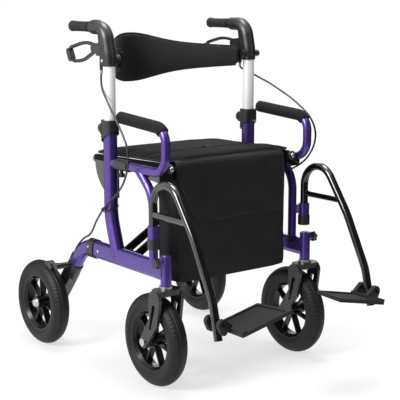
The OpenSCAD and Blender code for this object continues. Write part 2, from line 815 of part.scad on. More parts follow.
// Caster fork: crown and two bent, slotted legs that trail back to the axle
fork_in = tyre_w / 2 + fork_gap;
fork_axle = [trail - head_fwd, wheel_r];
module caster_fork() {
    crown_r = 22;
    bend_r = 17;
    toe_r = 15;
    slot_top_r = 6;
    slot_low_r = 4;
    top = [-head_fwd, crown_top - crown_r];
    bend = [0.07 * trail - head_fwd, wheel_r + 0.52 * (top[1] - wheel_r)];
    slot_a = top + 0.35 * (bend - top);
    slot_b = bend + 0.3 * (fork_axle - bend);
    color(black_plastic) difference() {
        union() {
            translate([-half_w, -head_fwd, crown_bottom]) linear_extrude(height = crown_t)
                oval(2 * (fork_in + fork_t), 2 * crown_r);
            for (x = [-fork_in - fork_t, fork_in])
                in_side(-half_w + x) linear_extrude(height = fork_t) difference() {
                    union() {
                        link(top, crown_r, bend, bend_r);
                        link(bend, bend_r, fork_axle, toe_r);
                    }
                    link(slot_a, slot_top_r, slot_b, slot_low_r);
                }
        }
        translate([-half_w, -head_fwd, crown_bottom - eps])
            cylinder(d = stem_d + 2 * fit_gap, h = crown_t + 2 * eps);
        rod_x(-half_w - 2 * fork_in, fork_axle[0], fork_axle[1], axle_d + 2 * fit_gap, 4 * fork_in);
    }
}

// Caster hardware: the stem with its nut and head, and the shouldered front axle
module caster_hardware() {
    head_h = 6;
    end_t = 4;
    shoulder_d = 20;
    reach = fork_in + fork_t + end_t;
    color(steel) {
        translate([-half_w, -head_fwd, crown_bottom - head_h])
            cylinder(d = stem_d, h = head_top - crown_bottom + head_h + 2);
        translate([-half_w, -head_fwd, crown_bottom - head_h]) cylinder(d = 1.5 * stem_d, h = head_h);
        translate([-half_w, -head_fwd, crown_top])
            cylinder(d = 2.1 * stem_d, h = nut_h - side_gap);
        rod_x(-half_w - reach, fork_axle[0], fork_axle[1], axle_d, 2 * reach);
        for (s = [-1, 1]) {
            rod_x(-half_w + s * (reach - end_t / 2) - end_t / 2, fork_axle[0], fork_axle[1],
                1.6 * axle_d, end_t);
            rod_x(-half_w + s * (fork_in + hub_w / 2 + side_gap) / 2 - (fork_in - hub_w / 2 - side_gap) / 2,
                fork_axle[0], fork_axle[1], shoulder_d, fork_in - hub_w / 2 - side_gap);
        }
    }
}

// Star knob of the caster lock
module caster_knob() {
    outer = half_w + star_boss_out + side_gap;
    color(black_plastic) {
        rod_x(-outer - eps, -head_fwd, star_z, knob_shaft_d, star_shaft_len + eps - side_gap);
        translate([-outer, -head_fwd, star_z]) rotate([0, -90, 0]) lobed_knob(star_d, star_t, 5);
    }
}

// Sliding handle tube
module handle_tube() {
    top = elbow_z + socket_depth;
    color(tube_silver) difference() {
        translate([-half_w, 0, tube_bottom]) cylinder(d = tube_d, h = top - tube_bottom);
        translate([-half_w, 0, tube_bottom - eps])
            cylinder(d = tube_d - 2 * tube_wall, h = top - tube_bottom + 2 * eps);
    }
}

// Handle elbow: leaning body with a rib behind it, socket, grip core, lever cheeks with pin, cable
// adjuster and back strap boss, and on one side of the chair a hexagonal knob on that boss
module handle_body(knob) {
    hex_d = 18;
    hex_t = 14;
    hex_in = 4;
    flange_d = 34;
    flange_t = 6;
    rib_d = elbow_d - 2;
    rib_back = 8;
    rib_top = 16;
    plinth_h = 6;
    cheek_root_r = cheek_r + 4;
    cheek_in = lever_w / 2 + side_gap;
    lean_from = 0.3 * elbow_drop;
    color(black_plastic) difference() {
        union() {
            in_side(-half_w)
                bent_bar([[0, elbow_z], [0, elbow_z + lean_from], [elbow_lean, grip_z],
                    [grip_root - flange_t, grip_z]], [0, 1.5 * elbow_r, elbow_r, 0])
                circle(d = elbow_d);
            in_side(-half_w)
                bent_bar([[rib_back, elbow_z], [rib_back + 0.8 * elbow_lean, grip_z - rib_top]], [0, 0])
                circle(d = rib_d);
            rod_y(-half_w, grip_root - flange_t, grip_z, flange_d, flange_t);
            rod_y(-half_w, grip_root - eps, grip_z, core_d, core_len + eps);
            for (x = [-cheek_in - cheek_t, cheek_in])
                in_side(-half_w + x) linear_extrude(height = cheek_t)
                    link([elbow_d / 4, lever_z], cheek_root_r, [lever_y, lever_z], cheek_r);
            rod_x(-half_w - cheek_in - eps, lever_y, lever_z, lever_pin_d, 2 * cheek_in + 2 * eps);
            translate([-half_w, adjuster_y, adjuster_z])
                cylinder(d = adjuster_d, h = lever_z - cheek_r - adjuster_z - plinth_h / 2);
            translate([-half_w, adjuster_y, lever_z - cheek_r - plinth_h])
                cylinder(d = 2 * cheek_in + 2 * cheek_t, h = plinth_h);
            rod_x(-half_w, 0, strap_z, strap_boss_d, strap_boss_in);
            if (knob) translate([-half_w - elbow_d / 2 - hex_t, 0, strap_z]) rotate([0, 90, 0])
                cylinder(d = hex_d, h = hex_t + hex_in, $fn = 6);
        }
        translate([-half_w, 0, elbow_z - rib_back])
            cylinder(d = tube_d + 2 * fit_gap, h = socket_depth + rib_back);
        rod_x(-half_w + strap_boss_in - strap_pin_in, 0, strap_z, strap_pin_d + 2 * run_gap,
            strap_pin_in + eps);
    }
}

// Rubber grip over the handlebar core
module grip() {
    dome = 4;
    color(rubber_black) difference() {
        union() {
            rod_y(-half_w, grip_root, grip_z, grip_d, grip_len - dome);
            translate([-half_w, grip_root + grip_len - dome, grip_z]) rotate([-90, 0, 0])
                cylinder(d1 = grip_d, d2 = grip_d - 2 * dome, h = dome);
        }
        rod_y(-half_w, grip_root - eps, grip_z, core_d + 2 * fit_gap, core_len + eps + fit_gap);
    }
}

// Loop brake lever on its pin, thicker at its tip
module brake_lever() {
    hub_r = 10;
    tip_r = 8;
    tip_w = lever_t + 5;
    color(black_plastic) difference() {
        union() {
            rod_x(-half_w - lever_w / 2, lever_y, lever_z, 2 * hub_r, lever_w);
            in_side(-half_w) bent_bar(lever_path, lever_bends) rotate(90) oval(lever_t + 3, lever_t);
            in_side(-half_w - tip_w / 2) linear_extrude(height = tip_w)
                link(lever_at(0.94, -0.34), tip_r, lever_at(0.88, -0.8), tip_r + 0.5);
        }
        rod_x(-half_w - lever_w, lever_y, lever_z, lever_pin_d + 2 * run_gap, 2 * lever_w);
    }
}

// Brake shoe that swings onto the tyre
module brake_shoe() {
    inner = half_w + leg_t / 2 + socket_wall + side_gap;
    outer = rear_x + shoe_w / 2;
    pad_r = wheel_r + shoe_gap;
    hub_r = brake_pin_d / 2 + 4;
    mid_turn = (shoe_from + shoe_to) / 2;
    pad_mid = rear_axle + (pad_r + shoe_t / 2) * [cos(mid_turn), sin(mid_turn)];
    color(black_plastic) difference() {
        union() {
            rod_x(-outer, brake_pivot[0], brake_pivot[1], 2 * hub_r, outer - inner);
            translate([-rear_x, rear_axle[0], rear_axle[1]]) rotate([90, 0, 90])
                rotate([0, 0, shoe_from]) rotate_extrude(angle = shoe_to - shoe_from)
                translate([pad_r, -shoe_w / 2]) square([shoe_t, shoe_w]);
            in_side(-rear_x - shoe_w / 4) linear_extrude(height = shoe_w / 2)
                link(brake_pivot, hub_r, pad_mid, shoe_t / 2);
        }
        rod_x(-outer - eps, brake_pivot[0], brake_pivot[1], brake_pin_d + 2 * run_gap,
            outer - inner + 2 * eps);
    }
}

// The footplate's cheeks stand clear of the leaning tube all the way round their swing
plate_bolt_d = 8;
plate_cheek_t = 11;
plate_cheek_gap = hanger_d / 2 / cos(ankle_lean) + (plate_under + plate_t) * tan(ankle_lean) + side_gap;

// Footrest hanger: arched tube, cross bar and the footplate's bolt
module hanger() {
    bolt_half = plate_cheek_gap + plate_cheek_t + 3;
    color(black_paint) {
        difference() {
            union() {
                in_side(-hanger_x) bent_bar(hanger_path, hanger_bends) circle(d = hanger_d);
                rod_y(-hanger_x, bar_front, bar_z, bar_d, -bar_front - hanger_back);
            }
            in_side(-hanger_x) bent_bar(stretched(hanger_path, eps), hanger_bends)
                circle(d = hanger_d - 2 * hanger_wall);
        }
        rod_y(-hanger_x, pivot_y - bolt_half, plate_pivot_z, plate_bolt_d, 2 * bolt_half);
    }
}

// Footplate: recessed tread, end block and two cheeks on the hanger's bolt
module footplate() {
    rim = 7;
    recess = 3;
    tread_in = 24;
    block_in = 15;
    block_rise = plate_under - hanger_d / 2 - 3 * side_gap;
    cheek_r = 13;
    heel_r = 9;
    gusset_r = 7;
    outline = [[tread_in, -plate_fwd], [plate_len, -plate_fwd], [plate_len - plate_slant, plate_aft],
        [tread_in, plate_aft]];
    panel = [[tread_in + rim, rim - plate_fwd], [plate_len - 2 * rim, rim - plate_fwd],
        [plate_len - plate_slant - rim, plate_aft - rim], [tread_in + rim, plate_aft - rim]];
    color(black_plastic) translate([-hanger_x, pivot_y, plate_pivot_z]) rotate([0, -plate_tilt, 0])
        difference() {
            union() {
                translate([0, 0, -plate_under - plate_t]) linear_extrude(height = plate_t)
                    polygon(outline);
                translate([block_in, -plate_fwd, -plate_under - plate_t])
                    cube([tread_in + rim - 2 * eps - block_in, plate_fwd + plate_aft, plate_t + block_rise]);
                for (y = [-plate_cheek_gap - plate_cheek_t, plate_cheek_gap])
                    translate([0, y + plate_cheek_t, 0]) rotate([90, 0, 0])
                        linear_extrude(height = plate_cheek_t) {
                            link([0, 0], cheek_r, [0, heel_r - plate_under - plate_t], heel_r);
                            link([0, 0], cheek_r,
                                [tread_in - 3 * eps, gusset_r + eps - plate_under - plate_t], gusset_r);
                        }
            }
            translate([0, 0, -plate_under - recess]) linear_extrude(height = 2 * recess) polygon(panel);
            rod_y(0, -2 * plate_fwd, 0, plate_bolt_d + 2 * run_gap, 4 * plate_fwd);
        }
}

// Brackets on the frame: front saddle, rear seat plate with its pin, and the brace's pivot
module frame_brackets() {
    saddle_low = rail_at(-seat_front) - seat_rail_d / 2 - saddle_drop;
    saddle_h = rail_at(-seat_front) - saddle_low;
    saddle_y = -seat_front + 2;
    trough = seat_rail_d + 2 * side_gap;
    plate_out = brace_x + seat_rail_d / 2 + side_gap;
    plate_top = rail_at(0) - 4;
    pin_z = rail_at(rear_pin_y) - seat_rail_d / 2 / cos(seat_tilt) - rear_pin_d / 2 - side_gap;
    lug_at = pivot_len / 2 + side_gap;
    color(black_paint) {
        difference() {
            translate([-half_w, saddle_y, saddle_low]) cube([half_w - saddle_in, saddle_w, saddle_h]);
            arm_outer(0);
            in_side(-half_w) bent_bar(front_leg_path, front_leg_bends) circle(d = arm_d);
            translate([-brace_x, -seat_front, seat_z]) rotate([90 - seat_tilt, 0, 0])
                translate([0, saddle_w, -2 * saddle_w]) linear_extrude(height = 3 * saddle_w)
                translate([0, -saddle_w]) union() {
                    circle(d = trough);
                    translate([-trough / 2, 0]) square([trough, saddle_w]);
                }
        }
        difference() {
            union() {
                in_side(-plate_out - plate_bracket_t) linear_extrude(height = plate_bracket_t)
                    intersection() {
                        translate([upright_d / 4, plate_top]) circle(r = plate_bracket_r);
                        translate([-upright_d / 4, plate_top - 2 * plate_bracket_r])
                            square(2 * plate_bracket_r);
                    }
                rod_x(-plate_out - plate_bracket_t, rear_pin_y, pin_z, rear_pin_d,
                    plate_out + plate_bracket_t - brace_x + seat_rail_d / 2);
            }
            upright_outer(0);
        }
        difference() {
            union() {
                for (y = [-brace_fwd - lug_at, -brace_fwd + lug_at + lug_t])
                    translate([0, y, 0]) rotate([90, 0, 0]) linear_extrude(height = lug_t)
                        link([-half_w + rail_t / 4, rail_z], rail_h / 3, [-brace_x, brace_z], lug_r);
                rod_y(-brace_x, -brace_fwd - lug_at - lug_t, brace_z, pin_d, 2 * lug_at + 2 * lug_t);
            }
            rail_outer();
        }
    }
}

// Brake cable swept along its route
module brake_cable(loop) {
    sides = 8;
    route = cable_route(loop);
    last = len(route) - 1;
    rings = [for (i = [0 : last])
        let (along = route[min(i + 1, last)] - route[max(i - 1, 0)],
            t = along / norm(along),
            u = cross([1, 0, 0], t) / norm(cross([1, 0, 0], t)),
            v = cross(t, u))
        for (k = [0 : sides - 1])
            route[i] + cable_d / 2 * (cos(360 * k / sides) * u + sin(360 * k / sides) * v)];
    walls = [for (i = [0 : last - 1], k = [0 : sides - 1], half = [0, 1])
        let (a = i * sides + k, b = i * sides + (k + 1) % sides)
        half == 0 ? [a, a + sides, b] : [b, a + sides, b + sides]];
    caps = [for (k = [1 : sides - 2], end = [0, 1])
        end == 0 ? [0, k, k + 1] : [last * sides, last * sides + k + 1, last * sides + k]];
    color(black_plastic) polyhedron(points = rings, faces = concat(walls, caps), convexity = 6);
}

// Cross brace: bars, pivot tube and the seat rail welded across their upper ends
brace_mid = [0, (brace_z + rail_at(-brace_fwd)) / 2];
module brace_bar(y, t) {
    translate([0, y + t, 0]) rotate([90, 0, 0]) linear_extrude(height = t)
        link([-brace_x, brace_z], brace_h / 2, [brace_x, rail_at(-brace_fwd)], brace_h / 2);
}

module brace_ends() {
    rod_y(-brace_x, -brace_fwd - pivot_len / 2, brace_z, pin_d + 8, pivot_len);
    translate([brace_x, -seat_front, seat_z]) rotate([-seat_tilt, 0, 0])
        rod_y(0, 0, 0, seat_rail_d, seat_rail_len);
}

module brace_bores(bolt_gap) {
    rod_y(-brace_x, -brace_fwd - pivot_len, brace_z, pin_d + 2 * run_gap, 2 * pivot_len);
    rod_y(0, -brace_fwd - pivot_len, brace_mid[1], pin_d + 2 * bolt_gap, 2 * pivot_len);
}

// Outer pair of bars, from the right rail up to the left seat rail
module fold_bar_a() {
    color(black_paint) right() difference() {
        union() {
            brace_bar(-brace_fwd - pivot_len / 2, outer_bar_t);
            brace_bar(-brace_fwd + pivot_len / 2 - outer_bar_t, outer_bar_t);
            brace_ends();
        }
        brace_bores(fit_gap);
    }
}

// Inner bar, from the left rail up to the right seat rail
module fold_bar_b() {
    color(black_paint) left() difference() {
        union() {
            brace_bar(-brace_fwd - inner_bar_t / 2, inner_bar_t);
            brace_ends();
        }
        brace_bores(run_gap);
    }
}

// Bolt through the middle of the cross brace
module fold_bolt() {
    head_t = 6;
    color(steel) right() {
        rod_y(0, -brace_fwd - pivot_len / 2 - head_t, brace_mid[1], pin_d, pivot_len + 2 * head_t);
        for (y = [-brace_fwd - pivot_len / 2 - head_t, -brace_fwd + pivot_len / 2])
            translate([0, y, brace_mid[1]]) rotate([-90, 0, 0])
                cylinder(d = 1.7 * pin_d, h = head_t, $fn = 6);
    }
}

// Crowned seat pad with its sides drawn in between the corners
module seat() {
    around = 56;
    square_off = 0.22;
    rings = [[0.985, 0], [1, 0.18], [1, 0.42], [0.975, 0.64], [0.9, 0.8], [0.7, 0.92], [0.4, 0.98]];
    function bulge(v) = sign(v) * pow(abs(v), square_off);
    function edge(a, half) = half - seat_draw * (1 - pow(abs(sin(2 * a)), 0.7));
    points = concat(
        [for (r = rings, i = [0 : around - 1])
            let (a = 360 * i / around)
            [r[0] * edge(a, seat_w / 2) * bulge(cos(a)), r[0] * edge(a, seat_d / 2) * bulge(sin(a)),
                r[1] * seat_crown]],
        [[0, 0, 0], [0, 0, seat_crown]]);
    count = len(rings);
    floor_point = count * around;
    walls = [for (k = [0 : count - 2], i = [0 : around - 1], half = [0, 1])
        let (a = k * around + i, b = k * around + (i + 1) % around)
        half == 0 ? [a, a + around, b] : [b, a + around, b + around]];
    caps = [for (i = [0 : around - 1], end = [0, 1])
        let (j = (i + 1) % around, top = (count - 1) * around)
        end == 0 ? [i, j, floor_point] : [top + j, top + i, floor_point + 1]];
    color(cloth_black) right() translate([0, -seat_front, seat_z]) rotate([-seat_tilt, 0, 0])
        translate([0, seat_d / 2 + 2, seat_rail_d / 2 + side_gap])
        polyhedron(points = points, faces = concat(walls, caps), convexity = 4);
}

// Shopping bag hung between the front saddles
module bag() {
    bag_front = -seat_front - 4;
    color(cloth_black) right() translate([0, bag_front + bag_d / 2, bag_top - bag_h])
        linear_extrude(height = bag_h) {
            square([2 * bag_half - 2 * bag_r, bag_d], center = true);
            square([2 * bag_half, bag_d - 2 * bag_r], center = true);
            for (x = [-1, 1], y = [-1, 1])
                translate([x * (bag_half - bag_r), y * (bag_d / 2 - bag_r)]) circle(r = bag_r);
        }
}

// Padded back strap, bowed to the rear, deepest and tallest in its middle
module backrest_pad() {
    steps = 28;
    ring = 16;
    function strap_y(s) = strap_bow * (1 - s * s);
    bell = 0.45;
    bell_power = 2.4;
    bell_share = 0.65;
    function swollen(s) = bell_share * exp(-pow(abs(s) / bell, bell_power)) + (1 - bell_share) * (1 - s * s);
    function strap_h(s) = strap_end_h + (strap_mid_h - strap_end_h) * swollen(s);
    function strap_mid(s) = strap_z - strap_low - strap_sag * (1 - s * s);
    function swell(s) = strap_t * (0.62 + 0.38 * sqrt(max(0, 1 - s * s)));
    points = [for (i = [0 : steps])
        let (s = -1 + 2 * i / steps,
            lean = atan2(-2 * strap_bow * s, strap_half),
            normal = [-sin(lean), cos(lean)])
        for (k = [0 : ring - 1])
            let (a = 360 * k / ring,
                across = swell(s) / 2 * sign(cos(a)) * pow(abs(cos(a)), 0.7),
                tall = strap_h(s) / 2 * sign(sin(a)) * pow(abs(sin(a)), 0.55))
            [strap_half * s + across * normal[0], strap_y(s) + across * normal[1], strap_mid(s) + tall]];
    walls = [for (i = [0 : steps - 1], k = [0 : ring - 1], half = [0, 1])
        let (a = i * ring + k, b = i * ring + (k + 1) % ring)
        half == 0 ? [a, a + ring, b] : [b, a + ring, b + ring]];
    caps = [for (k = [1 : ring - 2], end = [0, 1])
        end == 0 ? [0, k, k + 1] : [steps * ring, steps * ring + k + 1, steps * ring + k]];
    color(cloth_black) right() polyhedron(points = points, faces = concat(walls, caps), convexity = 6);
}

// End bracket of the back strap: pivot pin, disc and a plate along the strap's outer face
module backrest_bracket() {
    disc_t = 4;
    plate_w = 3;
    plate_h = 36;
    plate_run = 30;
    outer = half_w - strap_boss_in - side_gap;
    lean = atan2(2 * strap_bow, strap_half);
    along = [cos(lean), sin(lean)];
    normal = [-sin(lean), cos(lean)];
    root = [-strap_half, 0] + (0.356 * strap_t + plate_w / 2 + side_gap) * normal;
    color(black_plastic) {
        rod_x(-outer - strap_pin_in, 0, strap_z, strap_pin_d, strap_pin_in + eps);
        rod_x(-outer, 0, strap_z, strap_boss_d, disc_t);
        translate([0, 0, strap_z - strap_low - plate_h / 2]) linear_extrude(height = plate_h) {
            link([-outer + disc_t / 2, 0], plate_w / 2, root, plate_w / 2);
            link(root, plate_w / 2, root + plate_run * along, plate_w / 2);
        }
    }
}

fold_bar_a();
fold_bar_b();
fold_bolt();
seat();
bag();
backrest_pad();
right() backrest_bracket();  // right_backrest_bracket
left() backrest_bracket();  // left_backrest_bracket
right() lower_rail();  // right_lower_rail
right() upright();  // right_upright
right() armrest_tube();  // right_armrest_tube
right() armrest_pad();  // right_armrest_pad
right() sleeves();  // right_sleeves
right() height_collar();  // right_height_collar
right() height_knob();  // right_height_knob
right() rear_leg();  // right_rear_leg
right() wheel_bracket();  // right_wheel_bracket
right() rear_axle();  // right_rear_axle
right() rear_rim();  // right_rear_rim
right() rear_tyre();  // right_rear_tyre
right() caster_fork();  // right_caster_fork
right() caster_hardware();  // right_caster_hardware
right() front_rim();  // right_front_rim
right() front_tyre();  // right_front_tyre
right() handle_tube();  // right_handle_tube
right() handle_body(false);  // right_handle_body
right() grip();  // right_grip
right() brake_lever();  // right_brake_lever
right() brake_shoe();  // right_brake_shoe
right() hanger();  // right_hanger
right() footplate();  // right_footplate
right() brake_cable(right_cable_loop);  // right_brake_cable
right() frame_brackets();  // right_frame_brackets
right() caster_knob();  // right_caster_knob
left() lower_rail();  // left_lower_rail
left() upright();  // left_upright
left() armrest_tube();  // left_armrest_tube
left() armrest_pad();  // left_armrest_pad
left() sleeves();  // left_sleeves
left() height_collar();  // left_height_collar
left() height_knob();  // left_height_knob
left() rear_leg();  // left_rear_leg
left() wheel_bracket();  // left_wheel_bracket
left() rear_axle();  // left_rear_axle
left() rear_rim();  // left_rear_rim
left() rear_tyre();  // left_rear_tyre
left() caster_fork();  // left_caster_fork
left() caster_hardware();  // left_caster_hardware
left() front_rim();  // left_front_rim
left() front_tyre();  // left_front_tyre
left() handle_tube();  // left_handle_tube
left() handle_body(true);  // left_handle_body
left() grip();  // left_grip
left() brake_lever();  // left_brake_lever
left() brake_shoe();  // left_brake_shoe
left() hanger();  // left_hanger
left() footplate();  // left_footplate
left() brake_cable(left_cable_loop);  // left_brake_cable
left() frame_brackets();  // left_frame_brackets
left() caster_knob();  // left_caster_knob
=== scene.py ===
"""Looks of a rollator transport chair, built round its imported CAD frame.

Sizes are in the chair's own millimetres: +Z up, the front towards -Y, the occupant's right at -X, and Y
measured from the axis of the uprights. place() turns them into the frame's metres.
"""

import json
import logging
import math
from dataclasses import dataclass
from enum import Enum
from typing import Any, Callable, Sequence

import bmesh
import bpy
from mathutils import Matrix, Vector, noise

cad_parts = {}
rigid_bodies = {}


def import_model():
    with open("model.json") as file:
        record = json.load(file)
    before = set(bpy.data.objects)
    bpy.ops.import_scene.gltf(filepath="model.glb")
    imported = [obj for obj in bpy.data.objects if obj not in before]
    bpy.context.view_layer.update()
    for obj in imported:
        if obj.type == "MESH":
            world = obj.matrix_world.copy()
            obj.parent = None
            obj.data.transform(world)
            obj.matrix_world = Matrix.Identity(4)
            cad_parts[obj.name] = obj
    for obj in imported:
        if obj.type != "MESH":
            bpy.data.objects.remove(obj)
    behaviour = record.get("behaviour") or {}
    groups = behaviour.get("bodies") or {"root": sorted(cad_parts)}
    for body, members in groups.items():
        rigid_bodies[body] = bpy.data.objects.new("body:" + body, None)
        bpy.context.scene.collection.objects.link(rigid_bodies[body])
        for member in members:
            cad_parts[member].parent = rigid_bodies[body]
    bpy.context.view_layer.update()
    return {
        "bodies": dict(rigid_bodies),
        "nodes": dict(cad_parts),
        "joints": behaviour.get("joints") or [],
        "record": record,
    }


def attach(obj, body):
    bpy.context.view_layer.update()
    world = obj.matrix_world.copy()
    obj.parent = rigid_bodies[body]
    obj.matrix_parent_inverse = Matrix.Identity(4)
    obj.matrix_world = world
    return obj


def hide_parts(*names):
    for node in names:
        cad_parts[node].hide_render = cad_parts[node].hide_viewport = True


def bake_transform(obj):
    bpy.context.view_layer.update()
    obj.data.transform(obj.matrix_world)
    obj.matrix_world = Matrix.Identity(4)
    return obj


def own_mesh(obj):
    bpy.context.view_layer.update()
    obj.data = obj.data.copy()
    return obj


LOG = logging.getLogger("rollator")
Point = Sequence[float]
Pairs = Sequence[tuple[float, float]]
Ring = list[Point]
Skin = tuple[list[Point], list[list[int]]]
Tree = bpy.types.NodeTree
Socket = bpy.types.NodeSocket

MM = 0.001
# Y of the uprights' axis in the frame.
MID_Y = 64.89
# Distance of each side's plane from the chair's middle.
HALF_W = 223.0
# Hubs of the right wheels.
REAR_HUB = (-268.0, 278.0, 115.0)
FRONT_HUB = (-HALF_W, -190.0, 115.0)
# Radians that a wave texture of scale 1 turns in one unit.
WAVE_RATE = 20.0


class Side(Enum):
    """The two side frames, named from the occupant's seat."""

    RIGHT = "right"
    LEFT = "left"

    def at(self, point: Point) -> Point:
        """Mirrors a right-hand point to this side."""
        return point if self is Side.RIGHT else (-point[0], point[1], point[2])

    def called(self, piece: str) -> str:
        """Full name of one of this side's nodes, bodies or pieces."""
        return f"{self.value}_{piece}"


class Slot(Enum):
    """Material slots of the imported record."""

    FRAME = "frame_purple"
    TUBE = "tube_silver"
    METAL = "black_metal"
    PLASTIC = "black_plastic"
    STEEL = "steel"
    FOAM = "foam"
    GRIP = "grip_rubber"
    TYRE = "tyre_rubber"
    CLOTH = "cloth"


# Shapes


def place(point: Point) -> Vector:
    """Turns a point in chair millimetres into the frame's metres."""
    return Vector((point[0], point[1] + MID_Y, point[2])) * MM


def put(name: str, data: bpy.types.ID) -> bpy.types.Object:
    """Makes an object of its data and links it to the scene."""
    thing = bpy.data.objects.new(name, data)
    bpy.context.scene.collection.objects.link(thing)
    return thing


def point_at(thing: bpy.types.Object, spot: Point, heading: Vector) -> None:
    """Sets a camera or lamp at a spot and turns it to look along a heading."""
    thing.location = spot
    thing.rotation_mode = "QUATERNION"
    thing.rotation_quaternion = heading.to_track_quat("-Z", "Y")


def make_piece(name: str, skin: Skin, material: bpy.types.Material,
               sharp_deg: float = 40.0) -> bpy.types.Object:
    """Makes a mesh object with outward normals and smooth shading.

    Args:
        name: The piece's name.
        skin: Corners in chair millimetres, and the corner numbers of each face.
        material: The finish.
        sharp_deg: Edges steeper than this stay sharp.

    Returns:
        The new object, linked to the scene.
    """
    points, faces = skin
    mesh = bpy.data.meshes.new(name)
    mesh.from_pydata([place(p) for p in points], [], faces)
    shell = bmesh.new()
    shell.from_mesh(mesh)
    bmesh.ops.recalc_face_normals(shell, faces=shell.faces)
    shell.to_mesh(mesh)
    shell.free()
    mesh.shade_smooth()
    mesh.set_sharp_from_angle(angle=math.radians(sharp_deg))
    mesh.materials.append(material)
    return put(name, mesh)


def loft(rings: Sequence[Ring], capped: bool = True) -> Skin:
    """Joins rings of equal count into one skin.

    Args:
        rings: The rings, in order along the piece.
        capped: Whether the first and last ring are closed by a face.

    Returns:
        The points and the faces.
    """
    count = len(rings[0])
    points = [p for ring in rings for p in ring]
    faces = []
    for k in range(len(rings) - 1):
        low, high = k * count, (k + 1) * count
        for i in range(count):
            j = (i + 1) % count
            faces.append([low + i, low + j, high + j, high + i])
    if capped:
        last = (len(rings) - 1) * count
        faces.append(list(range(count))[::-1])
        faces.append(list(range(last, last + count)))
    return points, faces


def smooth_route(points: Sequence[Point], steps: int) -> list[Vector]:
    """Draws a smooth line through points.

    Args:
        points: Points that the line passes through.
        steps: Stations between two points.

    Returns:
        The stations of the line.
    """
    knots = [Vector(p) for p in points]
    ends = [2 * knots[0] - knots[1], *knots, 2 * knots[-1] - knots[-2]]
    line = []
    for i in range(1, len(ends) - 2):
        a, b, c, d = ends[i - 1: i + 3]
        for k in range(steps):
            t = k / steps
            line.append(0.5 * (2 * b + (c - a) * t + (2 * a - 5 * b + 4 * c - d) * t ** 2
                               + (3 * b - a - 3 * c + d) * t ** 3))
    line.append(knots[-1])
    return line


def lengths_along(line: Sequence[Vector]) -> list[float]:
    """Gives a line's length up to each of its stations."""
    lengths = [0.0]
    for a, b in zip(line, line[1:]):
        lengths.append(lengths[-1] + (b - a).length)
    return lengths


def spaced(first: float, last: float, steps: int) -> list[float]:
    """Gives evenly spaced numbers from the first to the last."""
    return [first + (last - first) * k / steps for k in range(steps + 1)]


def signed_power(value: float, power: float) -> float:
    """Raises a number's size to a power and keeps its sign."""
    return math.copysign(abs(value) ** power, value)


def round_section(radius: float, sides: int = 16) -> Pairs:
    """Gives a round cross-section."""
    turns = [2 * math.pi * i / sides for i in range(sides)]
    return [(radius * math.cos(t), radius * math.sin(t)) for t in turns]


def flat_section(half_a: float, half_b: float) -> Pairs:
    """Gives an oblong cross-section from its half sides."""
    return [(half_a, -half_b), (half_a, half_b), (-half_a, half_b), (-half_a, -half_b)]


def sweep(route: Sequence[Vector], section: Callable[[float], Pairs],
          across: Point | None = None) -> list[Ring]:
    """Carries a cross-section along a line without twist.

    Args:
        route: Stations of the line.
        section: Cross-section at a share, 0 to 1, of the line's length.
        across: Direction of the section's first axis at the start.

    Returns:
        One ring for each station.
    """
    last = len(route) - 1
    lengths = lengths_along(route)
    headings = [(route[min(i + 1, last)] - route[max(i - 1, 0)]).normalized() for i in range(last + 1)]
    first = Vector(across) if across else headings[0].orthogonal()
    aside = (first - headings[0] * first.dot(headings[0])).normalized()
    rings = []
    for i, station in enumerate(route):
        if i:
            aside = headings[i - 1].rotation_difference(headings[i]) @ aside
        up = headings[i].cross(aside)
        rings.append([station + aside * a + up * b for a, b in section(lengths[i] / lengths[-1])])
    return rings


def rod(line: Sequence[Vector], section: Pairs, across: Point | None = None) -> Skin:
    """Carries one cross-section along a line and closes both ends."""
    return loft(sweep(line, lambda share: section, across))


def hoop(line: Sequence[Vector], section: Pairs, across: Point | None = None) -> Skin:
    """Carries one cross-section round a line whose last station is its first."""
    rings = sweep(line, lambda share: section, across)
    return loft(rings[:-1] + [rings[0]], capped=False)


def lathe(origin: Point, axis: Point, profile: Pairs, sides: int = 32) -> Skin:
    """Turns a profile about an axis.

    Args:
        origin: Point on the axis.
        axis: Direction of the axis.
        profile: Pairs of radius and distance along the axis.
        sides: Points in each ring.

    Returns:
        The closed skin.
    """
    along = Vector(axis).normalized()
    first = along.orthogonal().normalized()
    second = along.cross(first)
    rings = []
    for radius, reach in profile:
        middle = Vector(origin) + along * reach
        rings.append([middle + first * a + second * b for a, b in round_section(radius, sides)])
    return loft(rings)


def settle(piece: bpy.types.Object, body: str) -> None:
    """Lets a piece ride on a body."""
    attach(piece, body)
    LOG.info("%s rides on %s", piece.name, body)


def applied(piece: bpy.types.Object, material: bpy.types.Material) -> None:
    """Replaces a piece's mesh by the result of its modifiers."""
    graph = bpy.context.evaluated_depsgraph_get()
    mesh = bpy.data.meshes.new_from_object(piece.evaluated_get(graph))
    piece.modifiers.clear()
    piece.data = mesh
    mesh.materials.clear()
    mesh.materials.append(material)
    mesh.shade_smooth()


def ruffle(piece: bpy.types.Object, shift: Callable[[Vector, Vector], Vector]) -> None:
    """Moves every point of a piece.

    Args:
        piece: The mesh object.
        shift: The move, in millimetres, for a point's place in metres and its normal.
    """
    normals = [v.normal.copy() for v in piece.data.vertices]
    places = [v.co + shift(v.co, n) * MM for v, n in zip(piece.data.vertices, normals)]
    for vertex, spot in zip(piece.data.vertices, places):
        vertex.co = spot


